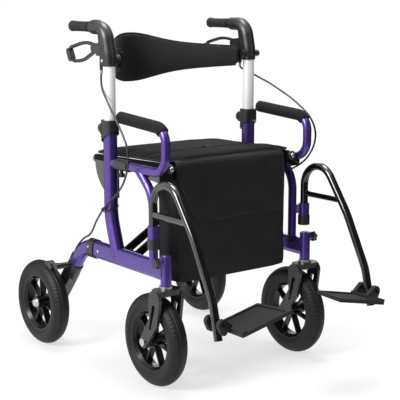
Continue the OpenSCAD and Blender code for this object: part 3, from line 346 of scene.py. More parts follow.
@dataclass(frozen=True)
class Puff:
    """Cloth simulation that blows a closed pad up inside its cover."""

    pressure: float
    cap_mm: float
    voxel_mm: float = 5.0
    frames: int = 20
    quality: int = 6

    def fill(self, pad: bpy.types.Object, held: Callable[[Vector], float]) -> None:
        """Remeshes the pad, blows it up, caps the travel and smooths it.

        Args:
            pad: The pad's mesh object.
            held: How firmly a point is held, 0 to 1.
        """
        material = pad.data.materials[0]
        remesh = pad.modifiers.new("remesh", "REMESH")
        remesh.mode = "VOXEL"
        remesh.voxel_size = self.voxel_mm * MM
        applied(pad, material)
        self.blow(pad, held)
        finer = pad.modifiers.new("finer", "SUBSURF")
        finer.levels = 1
        applied(pad, material)

    def blow(self, pad: bpy.types.Object, held: Callable[[Vector], float]) -> None:
        """Runs the cloth and keeps each point within the cap."""
        scene = bpy.context.scene
        group = pad.vertex_groups.new(name="held")
        rest = [v.co.copy() for v in pad.data.vertices]
        for i, co in enumerate(rest):
            group.add([i], held(co), "REPLACE")
        cloth = pad.modifiers.new("cloth", "CLOTH")
        cloth.settings.vertex_group_mass = "held"
        cloth.settings.use_pressure = True
        cloth.settings.uniform_pressure_force = self.pressure
        cloth.settings.effector_weights.gravity = 0.0
        cloth.settings.quality = self.quality
        cloth.point_cache.frame_start = 1
        cloth.point_cache.frame_end = self.frames
        for frame in range(1, self.frames + 1):
            scene.frame_set(frame)
        graph = bpy.context.evaluated_depsgraph_get()
        blown = [v.co.copy() for v in pad.evaluated_get(graph).data.vertices]
        pad.modifiers.clear()
        pad.vertex_groups.clear()
        for vertex, old, new in zip(pad.data.vertices, rest, blown):
            move = new - old
            if move.length > self.cap_mm * MM:
                move = move.normalized() * self.cap_mm * MM
            vertex.co = old + move
        scene.frame_set(1)


# Finishes


def linear(code: str) -> tuple[float, float, float, float]:
    """Turns an sRGB hex colour into linear light."""
    shares = [int(code[i: i + 2], 16) / 255 for i in (1, 3, 5)]
    light = [c / 12.92 if c <= 0.04045 else ((c + 0.055) / 1.055) ** 2.4 for c in shares]
    return (light[0], light[1], light[2], 1.0)


def add_node(tree: Tree, kind: str, settings: dict[str | int, Any] | None = None,
             links: dict[str | int, Socket] | None = None) -> bpy.types.Node:
    """Adds a shader node with its settings and links.

    Args:
        tree: The material's node tree.
        kind: The node's type.
        settings: Values of the node's properties or input sockets.
        links: Output sockets that feed the node's inputs.

    Returns:
        The new node.
    """
    node = tree.nodes.new(kind)
    for key, value in (settings or {}).items():
        if isinstance(key, str) and hasattr(node, key):
            setattr(node, key, value)
        else:
            node.inputs[key].default_value = value
    for key, source in (links or {}).items():
        tree.links.new(source, node.inputs[key])
    return node


def combine(tree: Tree, operation: str, *sources: Socket) -> Socket:
    """Joins values by a math node and returns its result."""
    return add_node(tree, "ShaderNodeMath", {"operation": operation}, dict(enumerate(sources))).outputs[0]


def blank(name: str) -> tuple[bpy.types.Material, Tree]:
    """Makes a material with an empty node tree."""
    material = bpy.data.materials.new(name)
    material.use_nodes = True
    material.node_tree.nodes.clear()
    return material, material.node_tree


@dataclass(frozen=True)
class Finish:
    """A finish: colours, gloss, and a fine pattern that shifts them and stands out in relief."""

    name: str
    colour: str
    drift_colour: str
    roughness: float
    rough_swing: float
    grain_mm: float
    relief_mm: float
    metallic: float = 0.0
    ior: float = 1.5
    coat: float = 0.0
    coat_rough: float = 0.08
    sheen: float = 0.0
    sheen_rough: float = 0.5
    specular: float = 0.5

    @property
    def per_metre(self) -> float:
        """How many grains lie in a metre."""
        return 1 / (self.grain_mm * MM)

    def grain(self, tree: Tree, where: Socket) -> Socket:
        """Draws the finish's pattern: an even mottle of the grain's size."""
        mottle = {"Scale": self.per_metre, "Detail": 3.0}
        return add_node(tree, "ShaderNodeTexNoise", mottle, {"Vector": where}).outputs["Fac"]

    def make(self) -> bpy.types.Material:
        """Builds the material and returns it."""
        material = bpy.data.materials.new(self.name)
        material.use_nodes = True
        tree = material.node_tree
        bsdf = tree.nodes["Principled BSDF"]
        levels = {
            "Metallic": self.metallic, "IOR": self.ior, "Specular IOR Level": self.specular,
            "Coat Weight": self.coat, "Coat Roughness": self.coat_rough,
            "Sheen Weight": self.sheen, "Sheen Roughness": self.sheen_rough,
        }
        for socket, level in levels.items():
            bsdf.inputs[socket].default_value = level
        where = add_node(tree, "ShaderNodeTexCoord").outputs["Object"]
        pattern = self.grain(tree, where)
        colours = {"data_type": "RGBA", 6: linear(self.colour), 7: linear(self.drift_colour)}
        paint = add_node(tree, "ShaderNodeMix", colours, {0: pattern})
        swing = {"To Min": self.roughness - self.rough_swing, "To Max": self.roughness + self.rough_swing}
        gloss = add_node(tree, "ShaderNodeMapRange", swing, {"Value": pattern})
        depth = {"Strength": 1.0, "Distance": self.relief_mm * MM}
        relief = add_node(tree, "ShaderNodeBump", depth, {"Height": pattern})
        tree.links.new(paint.outputs[2], bsdf.inputs["Base Color"])
        tree.links.new(gloss.outputs[0], bsdf.inputs["Roughness"])
        tree.links.new(relief.outputs[0], bsdf.inputs["Normal"])
        return material


@dataclass(frozen=True)
class FlakeLacquer(Finish):
    """Lacquer with metal flakes under a clear coat."""

    def grain(self, tree: Tree, where: Socket) -> Socket:
        """Draws separate flakes, each with its own brightness."""
        flakes = add_node(tree, "ShaderNodeTexVoronoi", {"Scale": self.per_metre}, {"Vector": where})
        return add_node(tree, "ShaderNodeSeparateColor", None, {0: flakes.outputs["Color"]}).outputs[0]


@dataclass(frozen=True)
class DrawnTube(Finish):
    """Metal tube with fine lines along its length, which is upright."""

    stretch: float = 0.02

    def grain(self, tree: Tree, where: Socket) -> Socket:
        """Draws the lines that the die leaves."""
        drawn = add_node(tree, "ShaderNodeMapping", {"Scale": (1.0, 1.0, self.stretch)}, {"Vector": where})
        lines = {"Scale": self.per_metre, "Detail": 2.0}
        return add_node(tree, "ShaderNodeTexNoise", lines, {"Vector": drawn.outputs[0]}).outputs["Fac"]


@dataclass(frozen=True)
class CellFoam(Finish):
    """Foam whose skin shows its cells."""

    def grain(self, tree: Tree, where: Socket) -> Socket:
        """Draws the cells."""
        cells = add_node(tree, "ShaderNodeTexVoronoi", {"Scale": self.per_metre}, {"Vector": where})
        return cells.outputs["Distance"]


@dataclass(frozen=True)
class Weave(Finish):
    """Plain weave: threads in three directions, of which a face shows the two that run along it."""

    thread_share: float = 0.22
    waver: float = 0.6
    slub_rate: float = 0.05

    def grain(self, tree: Tree, where: Socket) -> Socket:
        """Draws the threads, with slubs that make some of them uneven."""
        wave = {"Scale": 2 * math.pi / WAVE_RATE * self.per_metre, "Distortion": self.waver, "Detail": 0.0}
        threads = [add_node(tree, "ShaderNodeTexWave", {"bands_direction": axis, **wave},
                            {"Vector": where}).outputs["Fac"] for axis in ("X", "Y", "Z")]
        woven = combine(tree, "ADD", combine(tree, "ADD", threads[0], threads[1]), threads[2])
        uneven = {"Scale": self.slub_rate * self.per_metre, "Detail": 4.0}
        slub = add_node(tree, "ShaderNodeTexNoise", uneven, {"Vector": where}).outputs["Fac"]
        weighed = {"operation": "MULTIPLY_ADD", 1: self.thread_share}
        return add_node(tree, "ShaderNodeMath", weighed, {0: woven, 2: slub}).outputs[0]


class Palette:
    """All the chair's materials."""

    def __init__(self) -> None:
        """Makes each material once."""
        # Steel tube, sprayed with purple flake lacquer: lilac towards the light, deep violet in shade.
        # Flakes are about 0.1 mm; they are drawn at 0.9 mm so that they show.
        self.lacquer = FlakeLacquer("purple_flake_lacquer", "#553f92", "#664fa2", 0.34, 0.04, 0.9, 0.0015,
                                    metallic=0.85, coat=0.5, specular=0.3).make()
        # Aluminium tube, drawn and clear anodised: bright and soft, with faint lines along it.
        self.anodised = DrawnTube("drawn_anodised_aluminium", "#f4f4f4", "#fcfcfc", 0.40, 0.04, 0.6, 0.0015,
                                  metallic=0.2).make()
        # Nylon, injection moulded in a spark-eroded tool: near black with a broad, soft highlight.
        self.nylon = Finish("moulded_nylon", "#161618", "#202023", 0.36, 0.05, 0.8, 0.012,
                            specular=0.7).make()
        # Polypropylene, moulded with a coarser matt grain: greyer, nearly without highlights.
        self.polypropylene = Finish("moulded_polypropylene", "#1a1b1d", "#242528", 0.52, 0.06, 1.1, 0.03,
                                    specular=0.3).make()
        # Glass-filled nylon, moulded in a polished tool: rims in deep black with small sharp highlights.
        self.rim = Finish("moulded_glass_filled_nylon", "#09090a", "#111112", 0.26, 0.05, 0.8, 0.006,
                          specular=0.3).make()
        # Steel tube, powder coated black: long clear streaks over a slight orange peel.
        self.powder = Finish("black_powder_coat", "#060607", "#0c0c0d", 0.18, 0.04, 2.5, 0.012, coat=1.0,
                             specular=0.6).make()
        # Steel fasteners, zinc plated: pale, slightly cloudy metal.
        self.zinc = Finish("zinc_plated_steel", "#b9bbc0", "#d0d2d6", 0.30, 0.08, 3.0, 0.004,
                           metallic=1.0).make()
        # Closed-cell foam, cut tube with a skin: charcoal, matt, pitted by 1 mm cells drawn at 1.6 mm.
        self.foam = CellFoam("closed_cell_foam", "#111113", "#202022", 0.82, 0.08, 1.6, 0.12, sheen=0.03,
                             specular=0.15).make()
        # Soft rubber, moulded grip: dark, with a dull sheen.
        self.grip = Finish("moulded_grip_rubber", "#1c1c1e", "#28282a", 0.58, 0.06, 1.0, 0.03,
                           specular=0.25).make()
        # Tyre rubber, moulded: charcoal with a low sheen.
        self.tyre = Finish("moulded_tyre_rubber", "#101011", "#1a1a1b", 0.52, 0.07, 2.2, 0.05,
                           specular=0.3).make()
        # Polyester Oxford cloth, plain woven and coated: even black, a little lighter along the folds.
        # Threads are 0.5 mm apart; they are drawn at 2 mm so that they show.
        self.oxford = Weave("woven_oxford_cloth", "#151516", "#242426", 0.66, 0.06, 2.0, 0.10, sheen=0.04,
                            specular=0.1).make()
        # Coated cloth over foam, plain woven and calendered: a deeper black, nearly without shine.
        self.seat_cloth = Weave("calendered_seat_cloth", "#0b0b0c", "#161618", 0.72, 0.06, 1.8, 0.06,
                                sheen=0.01, specular=0.04).make()
        # Polyester webbing, woven narrow and sewn on: binds the cloth's edges, a little lighter than it.
        self.webbing = Weave("woven_binding_tape", "#161617", "#28282a", 0.66, 0.05, 1.6, 0.10, sheen=0.05,
                             specular=0.12).make()

    def of(self, slot: Slot) -> bpy.types.Material:
        """Gives the finish of a record slot."""
        return {
            Slot.FRAME: self.lacquer, Slot.TUBE: self.anodised, Slot.METAL: self.powder,
            Slot.PLASTIC: self.nylon, Slot.STEEL: self.zinc, Slot.FOAM: self.foam,
            Slot.GRIP: self.grip, Slot.TYRE: self.tyre, Slot.CLOTH: self.oxford,
        }[slot]


# Studio


@dataclass
class Studio:
    """Camera, white floor and background, and soft lights."""

    eye: Point = (-1.77015, -2.32920, 0.96346)
    back: Point = (-0.59666, -0.78121, 0.18361)
    lens_mm: float = 103.345
    sensor_mm: float = 36.0
    sky_light: float = 0.27
    white_light: float = 1.03
    floor_half: float = 14.0
    floor_at: Point = (0.0, 0.08, 0.0)
    floor_share: float = 0.60
    paper_r: float = 0.40
    white_r: float = 0.66
    card_light: float = 0.05
    card_h: float = 1.5
    card_r: float = 1.05
    card_steps: int = 8
    card_spans: Sequence[tuple[str, float, float]] = (("card_front", -146, 25), ("card_rear", 67, 117))
    aim: Point = (0.0, 0.0, 0.45)

    def camera(self) -> None:
        """Sets the camera at the photograph's viewing angle."""
        data = bpy.data.cameras.new("camera")
        data.lens = self.lens_mm
        data.sensor_width = self.sensor_mm
        camera = put("camera", data)
        point_at(camera, self.eye, -Vector(self.back))
        bpy.context.scene.camera = camera

    @staticmethod
    def seen(tree: Tree) -> Socket:
        """Gives 1 for rays that look at the background directly or in a reflection."""
        path = add_node(tree, "ShaderNodeLightPath").outputs
        either = combine(tree, "MAXIMUM", path["Is Camera Ray"], path["Is Glossy Ray"])
        return combine(tree, "MAXIMUM", either, path["Is Transmission Ray"])

    def world(self) -> None:
        """Makes a white background that lights the chair at a plain level."""
        world = bpy.data.worlds.new("studio")
        world.use_nodes = True
        bpy.context.scene.world = world
        tree = world.node_tree
        strength = add_node(tree, "ShaderNodeMapRange", {"To Min": self.sky_light, "To Max": 1.0},
                            {"Value": self.seen(tree)})
        background = tree.nodes["Background"]
        background.inputs["Color"].default_value = (1.0, 1.0, 1.0, 1.0)
        tree.links.new(strength.outputs[0], background.inputs["Strength"])

    def floor(self) -> None:
        """Lays a white floor that keeps the chair's shadow and runs out into the background."""
        material, tree = blank("white_paper_floor")
        paper = add_node(tree, "ShaderNodeBsdfDiffuse", {"Color": linear("#f4f4f4")})
        white = add_node(tree, "ShaderNodeEmission", {"Strength": self.white_light})
        where = add_node(tree, "ShaderNodeTexCoord").outputs["Object"]
        reach = add_node(tree, "ShaderNodeVectorMath", {"operation": "LENGTH"}, {0: where}).outputs["Value"]
        spread = {"From Min": self.paper_r, "From Max": self.white_r, "To Min": self.floor_share}
        fade = add_node(tree, "ShaderNodeMapRange", spread, {"Value": reach})
        share = combine(tree, "MULTIPLY", self.seen(tree), fade.outputs[0])
        blend = {0: share, 1: paper.outputs[0], 2: white.outputs[0]}
        mixed = add_node(tree, "ShaderNodeMixShader", None, blend)
        add_node(tree, "ShaderNodeOutputMaterial", None, {"Surface": mixed.outputs[0]})
        mesh = bpy.data.meshes.new("floor")
        half = self.floor_half
        corners = [(-half, -half, 0), (half, -half, 0), (half, half, 0), (-half, half, 0)]
        mesh.from_pydata(corners, [], [(0, 1, 2, 3)])
        mesh.materials.append(material)
        floor = put("floor", mesh)
        floor.location = self.floor_at

    def cards(self) -> None:
        """Stands grey cards out of sight, which only gloss shows, so that round tubes get a dark side."""
        material, tree = blank("grey_card")
        grey = add_node(tree, "ShaderNodeEmission", {"Color": linear("#ffffff"), "Strength": self.card_light})
        add_node(tree, "ShaderNodeOutputMaterial", None, {"Surface": grey.outputs[0]})
        steps = self.card_steps
        for name, first, last in self.card_spans:
            mesh = bpy.data.meshes.new(name)
            turns = [math.radians(t) for t in spaced(first, last, steps)]
            foot = [(self.card_r * math.cos(t), self.card_r * math.sin(t)) for t in turns]
            corners = [(*p, z) for p in foot for z in (0.0, self.card_h)]
            mesh.from_pydata(corners, [], [(2 * k, 2 * k + 2, 2 * k + 3, 2 * k + 1) for k in range(steps)])
            mesh.materials.append(material)
            card = put(name, mesh)
            card.visible_camera = False
            card.visible_diffuse = False
            card.visible_shadow = False
            card.visible_transmission = False

    def lamp(self, name: str, spot: Point, size: float, watts: float) -> None:
        """Hangs one soft box that faces the chair.

        Args:
            name: The lamp's name.
            spot: Its place in metres.
            size: Its width in metres.
            watts: Its power.
        """
        data = bpy.data.lights.new(name, "AREA")
        data.size = size
        data.energy = watts
        point_at(put(name, data), spot, Vector(self.aim) - Vector(spot))

    def lights(self) -> None:
        """Hangs the soft boxes: a key at the left, a fill at the right, one overhead and one behind."""
        self.lamp("key", (-3.3, -0.2, 2.5), 1.5, 140.0)
        self.lamp("fill", (1.6, -3.6, 1.6), 1.0, 14.0)
        self.lamp("overhead", (0.2, 0.3, 3.4), 1.2, 70.0)
        self.lamp("rear", (2.2, 2.8, 2.4), 1.2, 20.0)


# Brake cables


@dataclass
class BrakeCable:
    """Black cable from the handle's adjuster past the armrest to the brake."""

    side: Side
    diameter: float = 5.0
    bend_low: Point = (-249, 0, 560)
    bend_high: Point = (-249, 0, 740)
    right_loop: tuple[Point, ...] = (
        (-223, 37, 756.4), (-224, 36, 746), (-232, 24, 730), (-240, 7, 713), (-245, -14, 695),
        (-248, -38, 672), (-249, -68, 641), (-250, -94, 613), (-250, -114, 582), (-250, -118, 551),
        (-249, -112, 522), (-248, -92, 488), (-246, -62, 460))
    left_loop: tuple[Point, ...] = (
        (-223, 37, 756.4), (-224, 36, 746), (-232, 24, 737), (-241, 4, 728), (-246, -24, 718),
        (-248, -58, 707), (-249, -98, 692), (-250, -140, 675), (-250, -180, 655), (-250, -210, 636),
        (-250, -230, 614), (-250, -239, 590), (-250, -237, 568), (-250, -228, 547), (-250, -212, 526),
        (-249, -190, 507), (-248, -160, 490), (-247, -115, 472), (-246, -66, 453))
    tail: tuple[Point, ...] = (
        (-245, -26, 434), (-245, 8, 406), (-243, 40, 374), (-238, 66, 346), (-232, 94, 327),
        (-226, 124, 315), (-223, 150, 299), (-223, 168, 283), (-223, 184, 264))

    @property
    def route(self) -> tuple[Point, ...]:
        """The points that the cable passes, as if on the right; its loop is wider on the left."""
        return (self.right_loop if self.side is Side.RIGHT else self.left_loop) + self.tail

    def build(self, palette: Palette) -> None:
        """Makes the cable in place; it rides on no body, so it does not bend as the handle slides in the side
        frame.
        """
        line = smooth_route([self.side.at(p) for p in self.route], 6)
        skin = rod(line, round_section(self.diameter / 2, 12))
        cable = make_piece(self.side.called("cable"), skin, palette.nylon)
        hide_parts(self.side.called("brake_cable"))
        self.side.called("side")
        self.side.called("handle")
        place(self.side.at(self.bend_low))
        place(self.side.at(self.bend_high))
        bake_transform(cable)

    def ferrules(self, palette: Palette) -> None:
        """Adds the plated ends that the cable's cover is crimped into."""
        top, bottom = Vector(self.route[0]), Vector(self.route[-1])
        back_up = Vector(self.route[-2]) - bottom
        profile = [(2.6, -1.0), (3.6, 0.0), (3.6, 9.0), (3.2, 10.0), (2.6, 10.4)]
        for name, origin, axis, body in (("cable_top_ferrule", top, (0, 0, -1), "handle"),
                                         ("cable_brake_ferrule", bottom, back_up, "side")):
            skin = lathe(self.side.at(origin), self.side.at(axis), profile, 20)
            ferrule = make_piece(self.side.called(name), skin, palette.zinc)
            settle(ferrule, self.side.called(body))


# Soft goods


@dataclass
class SeatPad:
    """Padded seat slung between the two seat rails."""

    width: float = 400.0
    depth: float = 332.0
    crown: float = 15.0
    draw: float = 5.0
    draw_power: float = 0.7
    square_off: float = 0.22
    front: float = -212.0
    set_back: float = 2.0
    rail_z: float = 535.0
    tilt_deg: float = 2.0
    lift: float = 11.5
    held_low: float = 6.0
    crease_at: float = -54.0
    crease_deep: float = 2.6
    crease_wide: float = 5.0
    crease_slant: float = 0.06
    wave_deep: float = 0.9
    wave_rate: float = 18.0
    binding_r: float = 2.4
    around: int = 128

    def spot(self, x: float, y: float, z: float) -> Point:
        """Turns a point on the flat pad, measured from its middle, into its place on the sloping rails."""
        turn = math.radians(-self.tilt_deg)
        ahead, up = y + self.depth / 2 + self.set_back, z + self.lift
        return (x, self.front + ahead * math.cos(turn) - up * math.sin(turn),
                self.rail_z + ahead * math.sin(turn) + up * math.cos(turn))

    def outline(self, share: float, height: float) -> Ring:
        """Gives one ring of the pad: its squarish outline, drawn in between the corners.

        Args:
            share: Size of the ring against the full outline.
            height: Height of the ring.

        Returns:
            The ring's points.
        """
        ring = []
        for i in range(self.around):
            a = 2 * math.pi * i / self.around
            pull = self.draw * (1 - abs(math.sin(2 * a)) ** self.draw_power)
            x = signed_power(math.cos(a), self.square_off) * (self.width / 2 - pull)
            y = signed_power(math.sin(a), self.square_off) * (self.depth / 2 - pull)
            ring.append(self.spot(share * x, share * y, height))
        return ring

    def fold(self, piece: bpy.types.Object) -> None:
        """Bakes the piece's place into its mesh, where it stays as the cross brace folds."""
        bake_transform(piece)
        LOG.info("%s sags between the folding rails", piece.name)

    def build(self, palette: Palette) -> None:
        """Makes the pad, blows it up and presses the sewn crease into it."""
        levels = [(0.985, 0.0), (1.0, 0.2), (1.0, 0.45), (0.975, 0.66), (0.9, 0.81), (0.7, 0.92), (0.4, 0.98),
                  (0.05, 1.0)]
        skin = loft([self.outline(s, h * self.crown) for s, h in levels])
        pad = make_piece("seat_pad", skin, palette.seat_cloth, 180.0)
        held_z = place(self.spot(0, 0, 0)).z + self.held_low * MM
        Puff(pressure=2.0, cap_mm=2.0).fill(pad, lambda co: 1.0 if co.z < held_z else 0.0)
        ruffle(pad, self.press)
        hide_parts("seat")
        self.fold(pad)

    def press(self, spot: Vector, normal: Vector) -> Vector:
        """Sinks the pad's top near the crease, and waves the cover a little elsewhere."""
        middle = self.front + self.depth / 2 + self.crease_at
        along = spot.y / MM - MID_Y - middle + self.crease_slant * spot.x / MM
        groove = self.crease_deep * math.exp(-(along / self.crease_wide) ** 2)
        wave = self.wave_deep * noise.noise(spot * self.wave_rate)
        return Vector((0, 0, -max(0.0, normal.z) ** 2 * (groove + wave)))

    def trim(self, palette: Palette) -> None:
        """Adds the bound edge and the small pull tab at the crease."""
        ring = [Vector(p) for p in self.outline(1.004, 0.34 * self.crown)]
        edge = hoop([*ring, ring[0]], round_section(self.binding_r, 10))
        self.fold(make_piece("seat_binding", edge, palette.webbing))
        arch = [self.spot(10, y, z) for y, z in ((-57, 11), (-54, 16), (-46, 19), (-36, 17), (-33, 12))]
        tab = rod(smooth_route(arch, 6), flat_section(6, 0.7), across=(1, 0, 0))
        self.fold(make_piece("seat_pull_tab", tab, palette.webbing))


@dataclass
class BackStrap:
    """Padded back strap, bowed to the rear between the two handles."""

    half: float = 186.5
    pivot_z: float = 784.0
    pivot_drop: float = 4.0
    bow: float = 242.0
    middle_h: float = 129.0
    end_h: float = 48.0
    bell: float = 0.45
    bell_power: float = 2.4
    bell_share: float = 0.65
    sag: float = 9.0
    thick: float = 20.0
    end_thick: float = 0.62
    face_power: float = 0.7
    edge_power: float = 0.55
    held_end: float = 0.93
    held_edge: float = 0.44
    bound: float = 0.985
    binding_r: float = 2.6
    wave_deep: float = 0.8
    wave_rate: float = 22.0
    fold_keep: float = 0.624

    def middle(self, s: float) -> tuple[Vector, Vector, float]:
        """Gives the strap's centre, its outward direction and its height at a share from -1 to 1."""
        round_off = 1 - s * s
        bell = math.exp(-(abs(s) / self.bell) ** self.bell_power)
        swell = self.bell_share * bell + (1 - self.bell_share) * round_off
        z = self.pivot_z - self.pivot_drop - self.sag * round_off
        lean = math.atan2(-2 * self.bow * s, self.half)
        outward = Vector((-math.sin(lean), math.cos(lean), 0))
        tall = self.end_h + (self.middle_h - self.end_h) * swell
        return Vector((self.half * s, self.bow * round_off, z)), outward, tall

    def ring(self, s: float, count: int) -> Ring:
        """Gives one closed section of the pad."""
        centre, outward, tall = self.middle(s)
        thick = self.thick * (self.end_thick + (1 - self.end_thick) * math.sqrt(max(0.0, 1 - s * s)))
        ring = []
        for k in range(count):
            a = 2 * math.pi * k / count
            across = thick / 2 * signed_power(math.cos(a), self.face_power)
            up = tall / 2 * signed_power(math.sin(a), self.edge_power)
            ring.append(centre + outward * across + Vector((0, 0, up)))
        return ring

    def fold(self, piece: bpy.types.Object) -> None:
        """Lets a piece ride on the backrest."""
        settle(piece, "backrest")
        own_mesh(piece)

    def build(self, palette: Palette) -> None:
        """Makes the pad and blows it up between its bound edges."""
        skin = loft([self.ring(s, 32) for s in spaced(-1, 1, 72)])
        pad = make_piece("back_strap", skin, palette.oxford, 180.0)
        Puff(pressure=4.0, cap_mm=5.0).fill(pad, self.held)
        ruffle(pad, lambda spot, normal: normal * self.wave_deep * noise.noise(spot * self.wave_rate))
        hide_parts("backrest_pad")
        self.fold(pad)

    def held(self, co: Vector) -> float:
        """Holds the strap's ends and its two bound edges."""
        s = max(-1.0, min(1.0, co.x / MM / self.half))
        centre, _, tall = self.middle(s)
        on_edge = abs(co.z / MM - centre.z) > self.held_edge * tall
        return 1.0 if abs(s) > self.held_end or on_edge else 0.0

    def trim(self, palette: Palette) -> None:
        """Adds the binding along both edges."""
        for name, height in (("back_strap_top_binding", 0.5), ("back_strap_low_binding", -0.5)):
            line = []
            for s in spaced(-self.bound, self.bound, 80):
                centre, _, tall = self.middle(s)
                line.append(centre + Vector((0, 0, height * tall)))
            self.fold(make_piece(name, rod(line, round_section(self.binding_r, 10)), palette.webbing))


@dataclass
class Bag:
    """Shopping bag that hangs under the seat's front, with a flap over its face."""

    half: float = 176.0
    front: float = -216.0
    deep: float = 88.0
    low: float = 255.0
    top: float = 541.0
    round_top: float = 0.07
    round_low: float = 0.06
    top_in: float = 9.0
    low_in: float = 2.0
    belly: float = 5.0
    belly_power: float = 0.8
    front_share: float = 0.5
    corner_x: float = 0.12
    corner_y: float = 0.28
    gusset_in: float = 5.0
    floor_sag: float = 6.0
    crease_deep: float = 1.4
    crease_rate: Point = (7, 9, 16)
    flap_top: float = 551.0
    flap_low: float = 400.0
    flap_fall: float = 160.0
    flap_thick: float = 1.6
    flap_in: float = 17.0
    slant_top: float = 520.0
    slant_low: float = 416.0
    slant: float = 0.45
    corner_bend: float = 0.13
    hem_waves: tuple[float, float] = (2.0, 1.2)
    stand_off: float = 2.0
    flare: float = 2.2
    flare_from: float = 470.0
    flare_over: float = 75.0
    over_from: float = 538.0
    over_in: float = 12.0
    binding_r: float = 1.7
    fold_keep: float = 0.60

    def ring(self, z: float, count: int = 96) -> Ring:
        """Gives the bag's outline at a height: rounded corners, a soft belly and sides that pull in.

        Args:
            z: Height of the outline.
            count: Number of points.

        Returns:
            The outline's points.
        """
        share = (z - self.low) / (self.top - self.low)
        upper = max(0.0, (share - 1 + self.round_top) / self.round_top)
        lower = max(0.0, (self.round_low - share) / self.round_low)
        shrink = self.top_in * upper ** 2 + self.low_in * lower ** 2
        belly = self.belly * math.sin(math.pi * share) ** self.belly_power
        half_x, half_y = self.half - shrink, self.deep / 2 - shrink
        middle_y = self.front + self.deep / 2
        gusset_in = self.gusset_in * math.sin(math.pi * min(1.0, share * 1.1))
        ring = []
        for i in range(count):
            a = 2 * math.pi * (i + 0.5) / count
            x = signed_power(math.cos(a), self.corner_x) * half_x
            y = signed_power(math.sin(a), self.corner_y) * half_y
            flat = 1 - (x / half_x) ** 2
            gusset = 1 - min(1.0, abs(y / half_y)) ** 2
            x -= math.copysign(gusset_in * gusset, x) * (1 - flat) ** 8
            y += math.copysign(belly * flat, y) * (self.front_share if y < 0 else 1.0)
            ring.append((x, middle_y + y, z + self.sag(x, share)))
        return ring

    def sag(self, x: float, share: float) -> float:
        """Gives how far the bag's floor hangs in its middle, which fades out upwards."""
        return -self.floor_sag * (1 - (x / self.half) ** 2) * (1 - share) ** 3

    def face_y(self, x: float, z: float) -> float:
        """Gives the place of the bag's front face."""
        share = min(1.0, max(0.0, (z - self.low) / (self.top - self.low)))
        belly = self.front_share * self.belly * math.sin(math.pi * share) ** self.belly_power
        return self.front - belly * (1 - (x / self.half) ** 2)

    def fold(self, piece: bpy.types.Object) -> None:
        """Lets a piece ride on the right side."""
        settle(piece, "right_side")
        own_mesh(piece)

    def build(self, palette: Palette) -> None:
        """Makes the bag's shell, with creases in its cloth."""
        shares = [0.0, 0.012, 0.03, 0.06, *spaced(0.1, 0.93, 22), 0.955, 0.975, 0.99, 1.0]
        skin = loft([self.ring(self.low + s * (self.top - self.low)) for s in shares])
        shell = make_piece("bag_shell", skin, palette.oxford, 60.0)
        ruffle(shell, self.crease)
        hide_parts("bag")
        self.fold(shell)

    def crease(self, spot: Vector, normal: Vector) -> Vector:
        """Creases the cloth, mostly across."""
        where = Vector([a * rate for a, rate in zip(spot, self.crease_rate)])
        return normal * self.crease_deep * noise.noise(where)

    def flap_left(self, z: float) -> float:
        """Gives the flap's slanted edge on the occupant's right, with its round lower corner."""
        slanted = self.slant * max(0.0, self.slant_top - max(z, self.slant_low))
        rounded = self.corner_bend * max(0.0, self.slant_low - z) ** 2
        return slanted + rounded - self.half

    def flap(self, palette: Palette) -> None:
        """Hangs the flap over the bag's face, with its bound edge."""
        across, down = 40, 34
        rows = []
        for k in range(down + 1):
            z = self.flap_top - k / down * (self.flap_top - self.flap_low)
            rows.append([self.flap_point(i / across, z) for i in range(across + 1)])
        points = [p for row in rows for p in row]
        wide = across + 1
        faces = [[k * wide + i, k * wide + i + 1, (k + 1) * wide + i + 1, (k + 1) * wide + i]
                 for k in range(down) for i in range(across)]
        flap = make_piece("bag_flap", (points, faces), palette.oxford, 60.0)
        solid = flap.modifiers.new("cloth", "SOLIDIFY")
        solid.thickness = self.flap_thick * MM
        solid.offset = 1.0
        applied(flap, palette.oxford)
        right = [row[-1] for row in rows]
        edge = [row[0] for row in rows] + rows[-1][1:] + right[-2::-1]
        skin = rod([Vector(p) for p in edge], round_section(self.binding_r, 8))
        binding = make_piece("bag_flap_binding", skin, palette.webbing)
        self.fold(flap)
        self.fold(binding)

    def flap_point(self, share: float, z: float) -> Point:
        """Gives a point of the flap.

        Args:
            share: Share of the flap's width, from its slanted edge.
            z: Height of the point.

        Returns:
            The point, just in front of the bag's face.
        """
        left = self.flap_left(z)
        x = left + share * (self.half - self.flap_in - left)
        hang = max(0.0, (self.flap_top - z) / (self.flap_top - self.flap_low)) ** 2
        broad, fine = self.hem_waves
        z += hang * (broad * math.sin(math.pi * share) - fine * math.sin(3 * math.pi * share))
        lift = self.stand_off + self.flare * max(0.0, (self.flare_from - z) / self.flare_over) ** 2
        over = max(0.0, (z - self.over_from) / (self.flap_top - self.over_from))
        return (x, self.face_y(x, z) - lift + self.over_in * over ** 2, z)


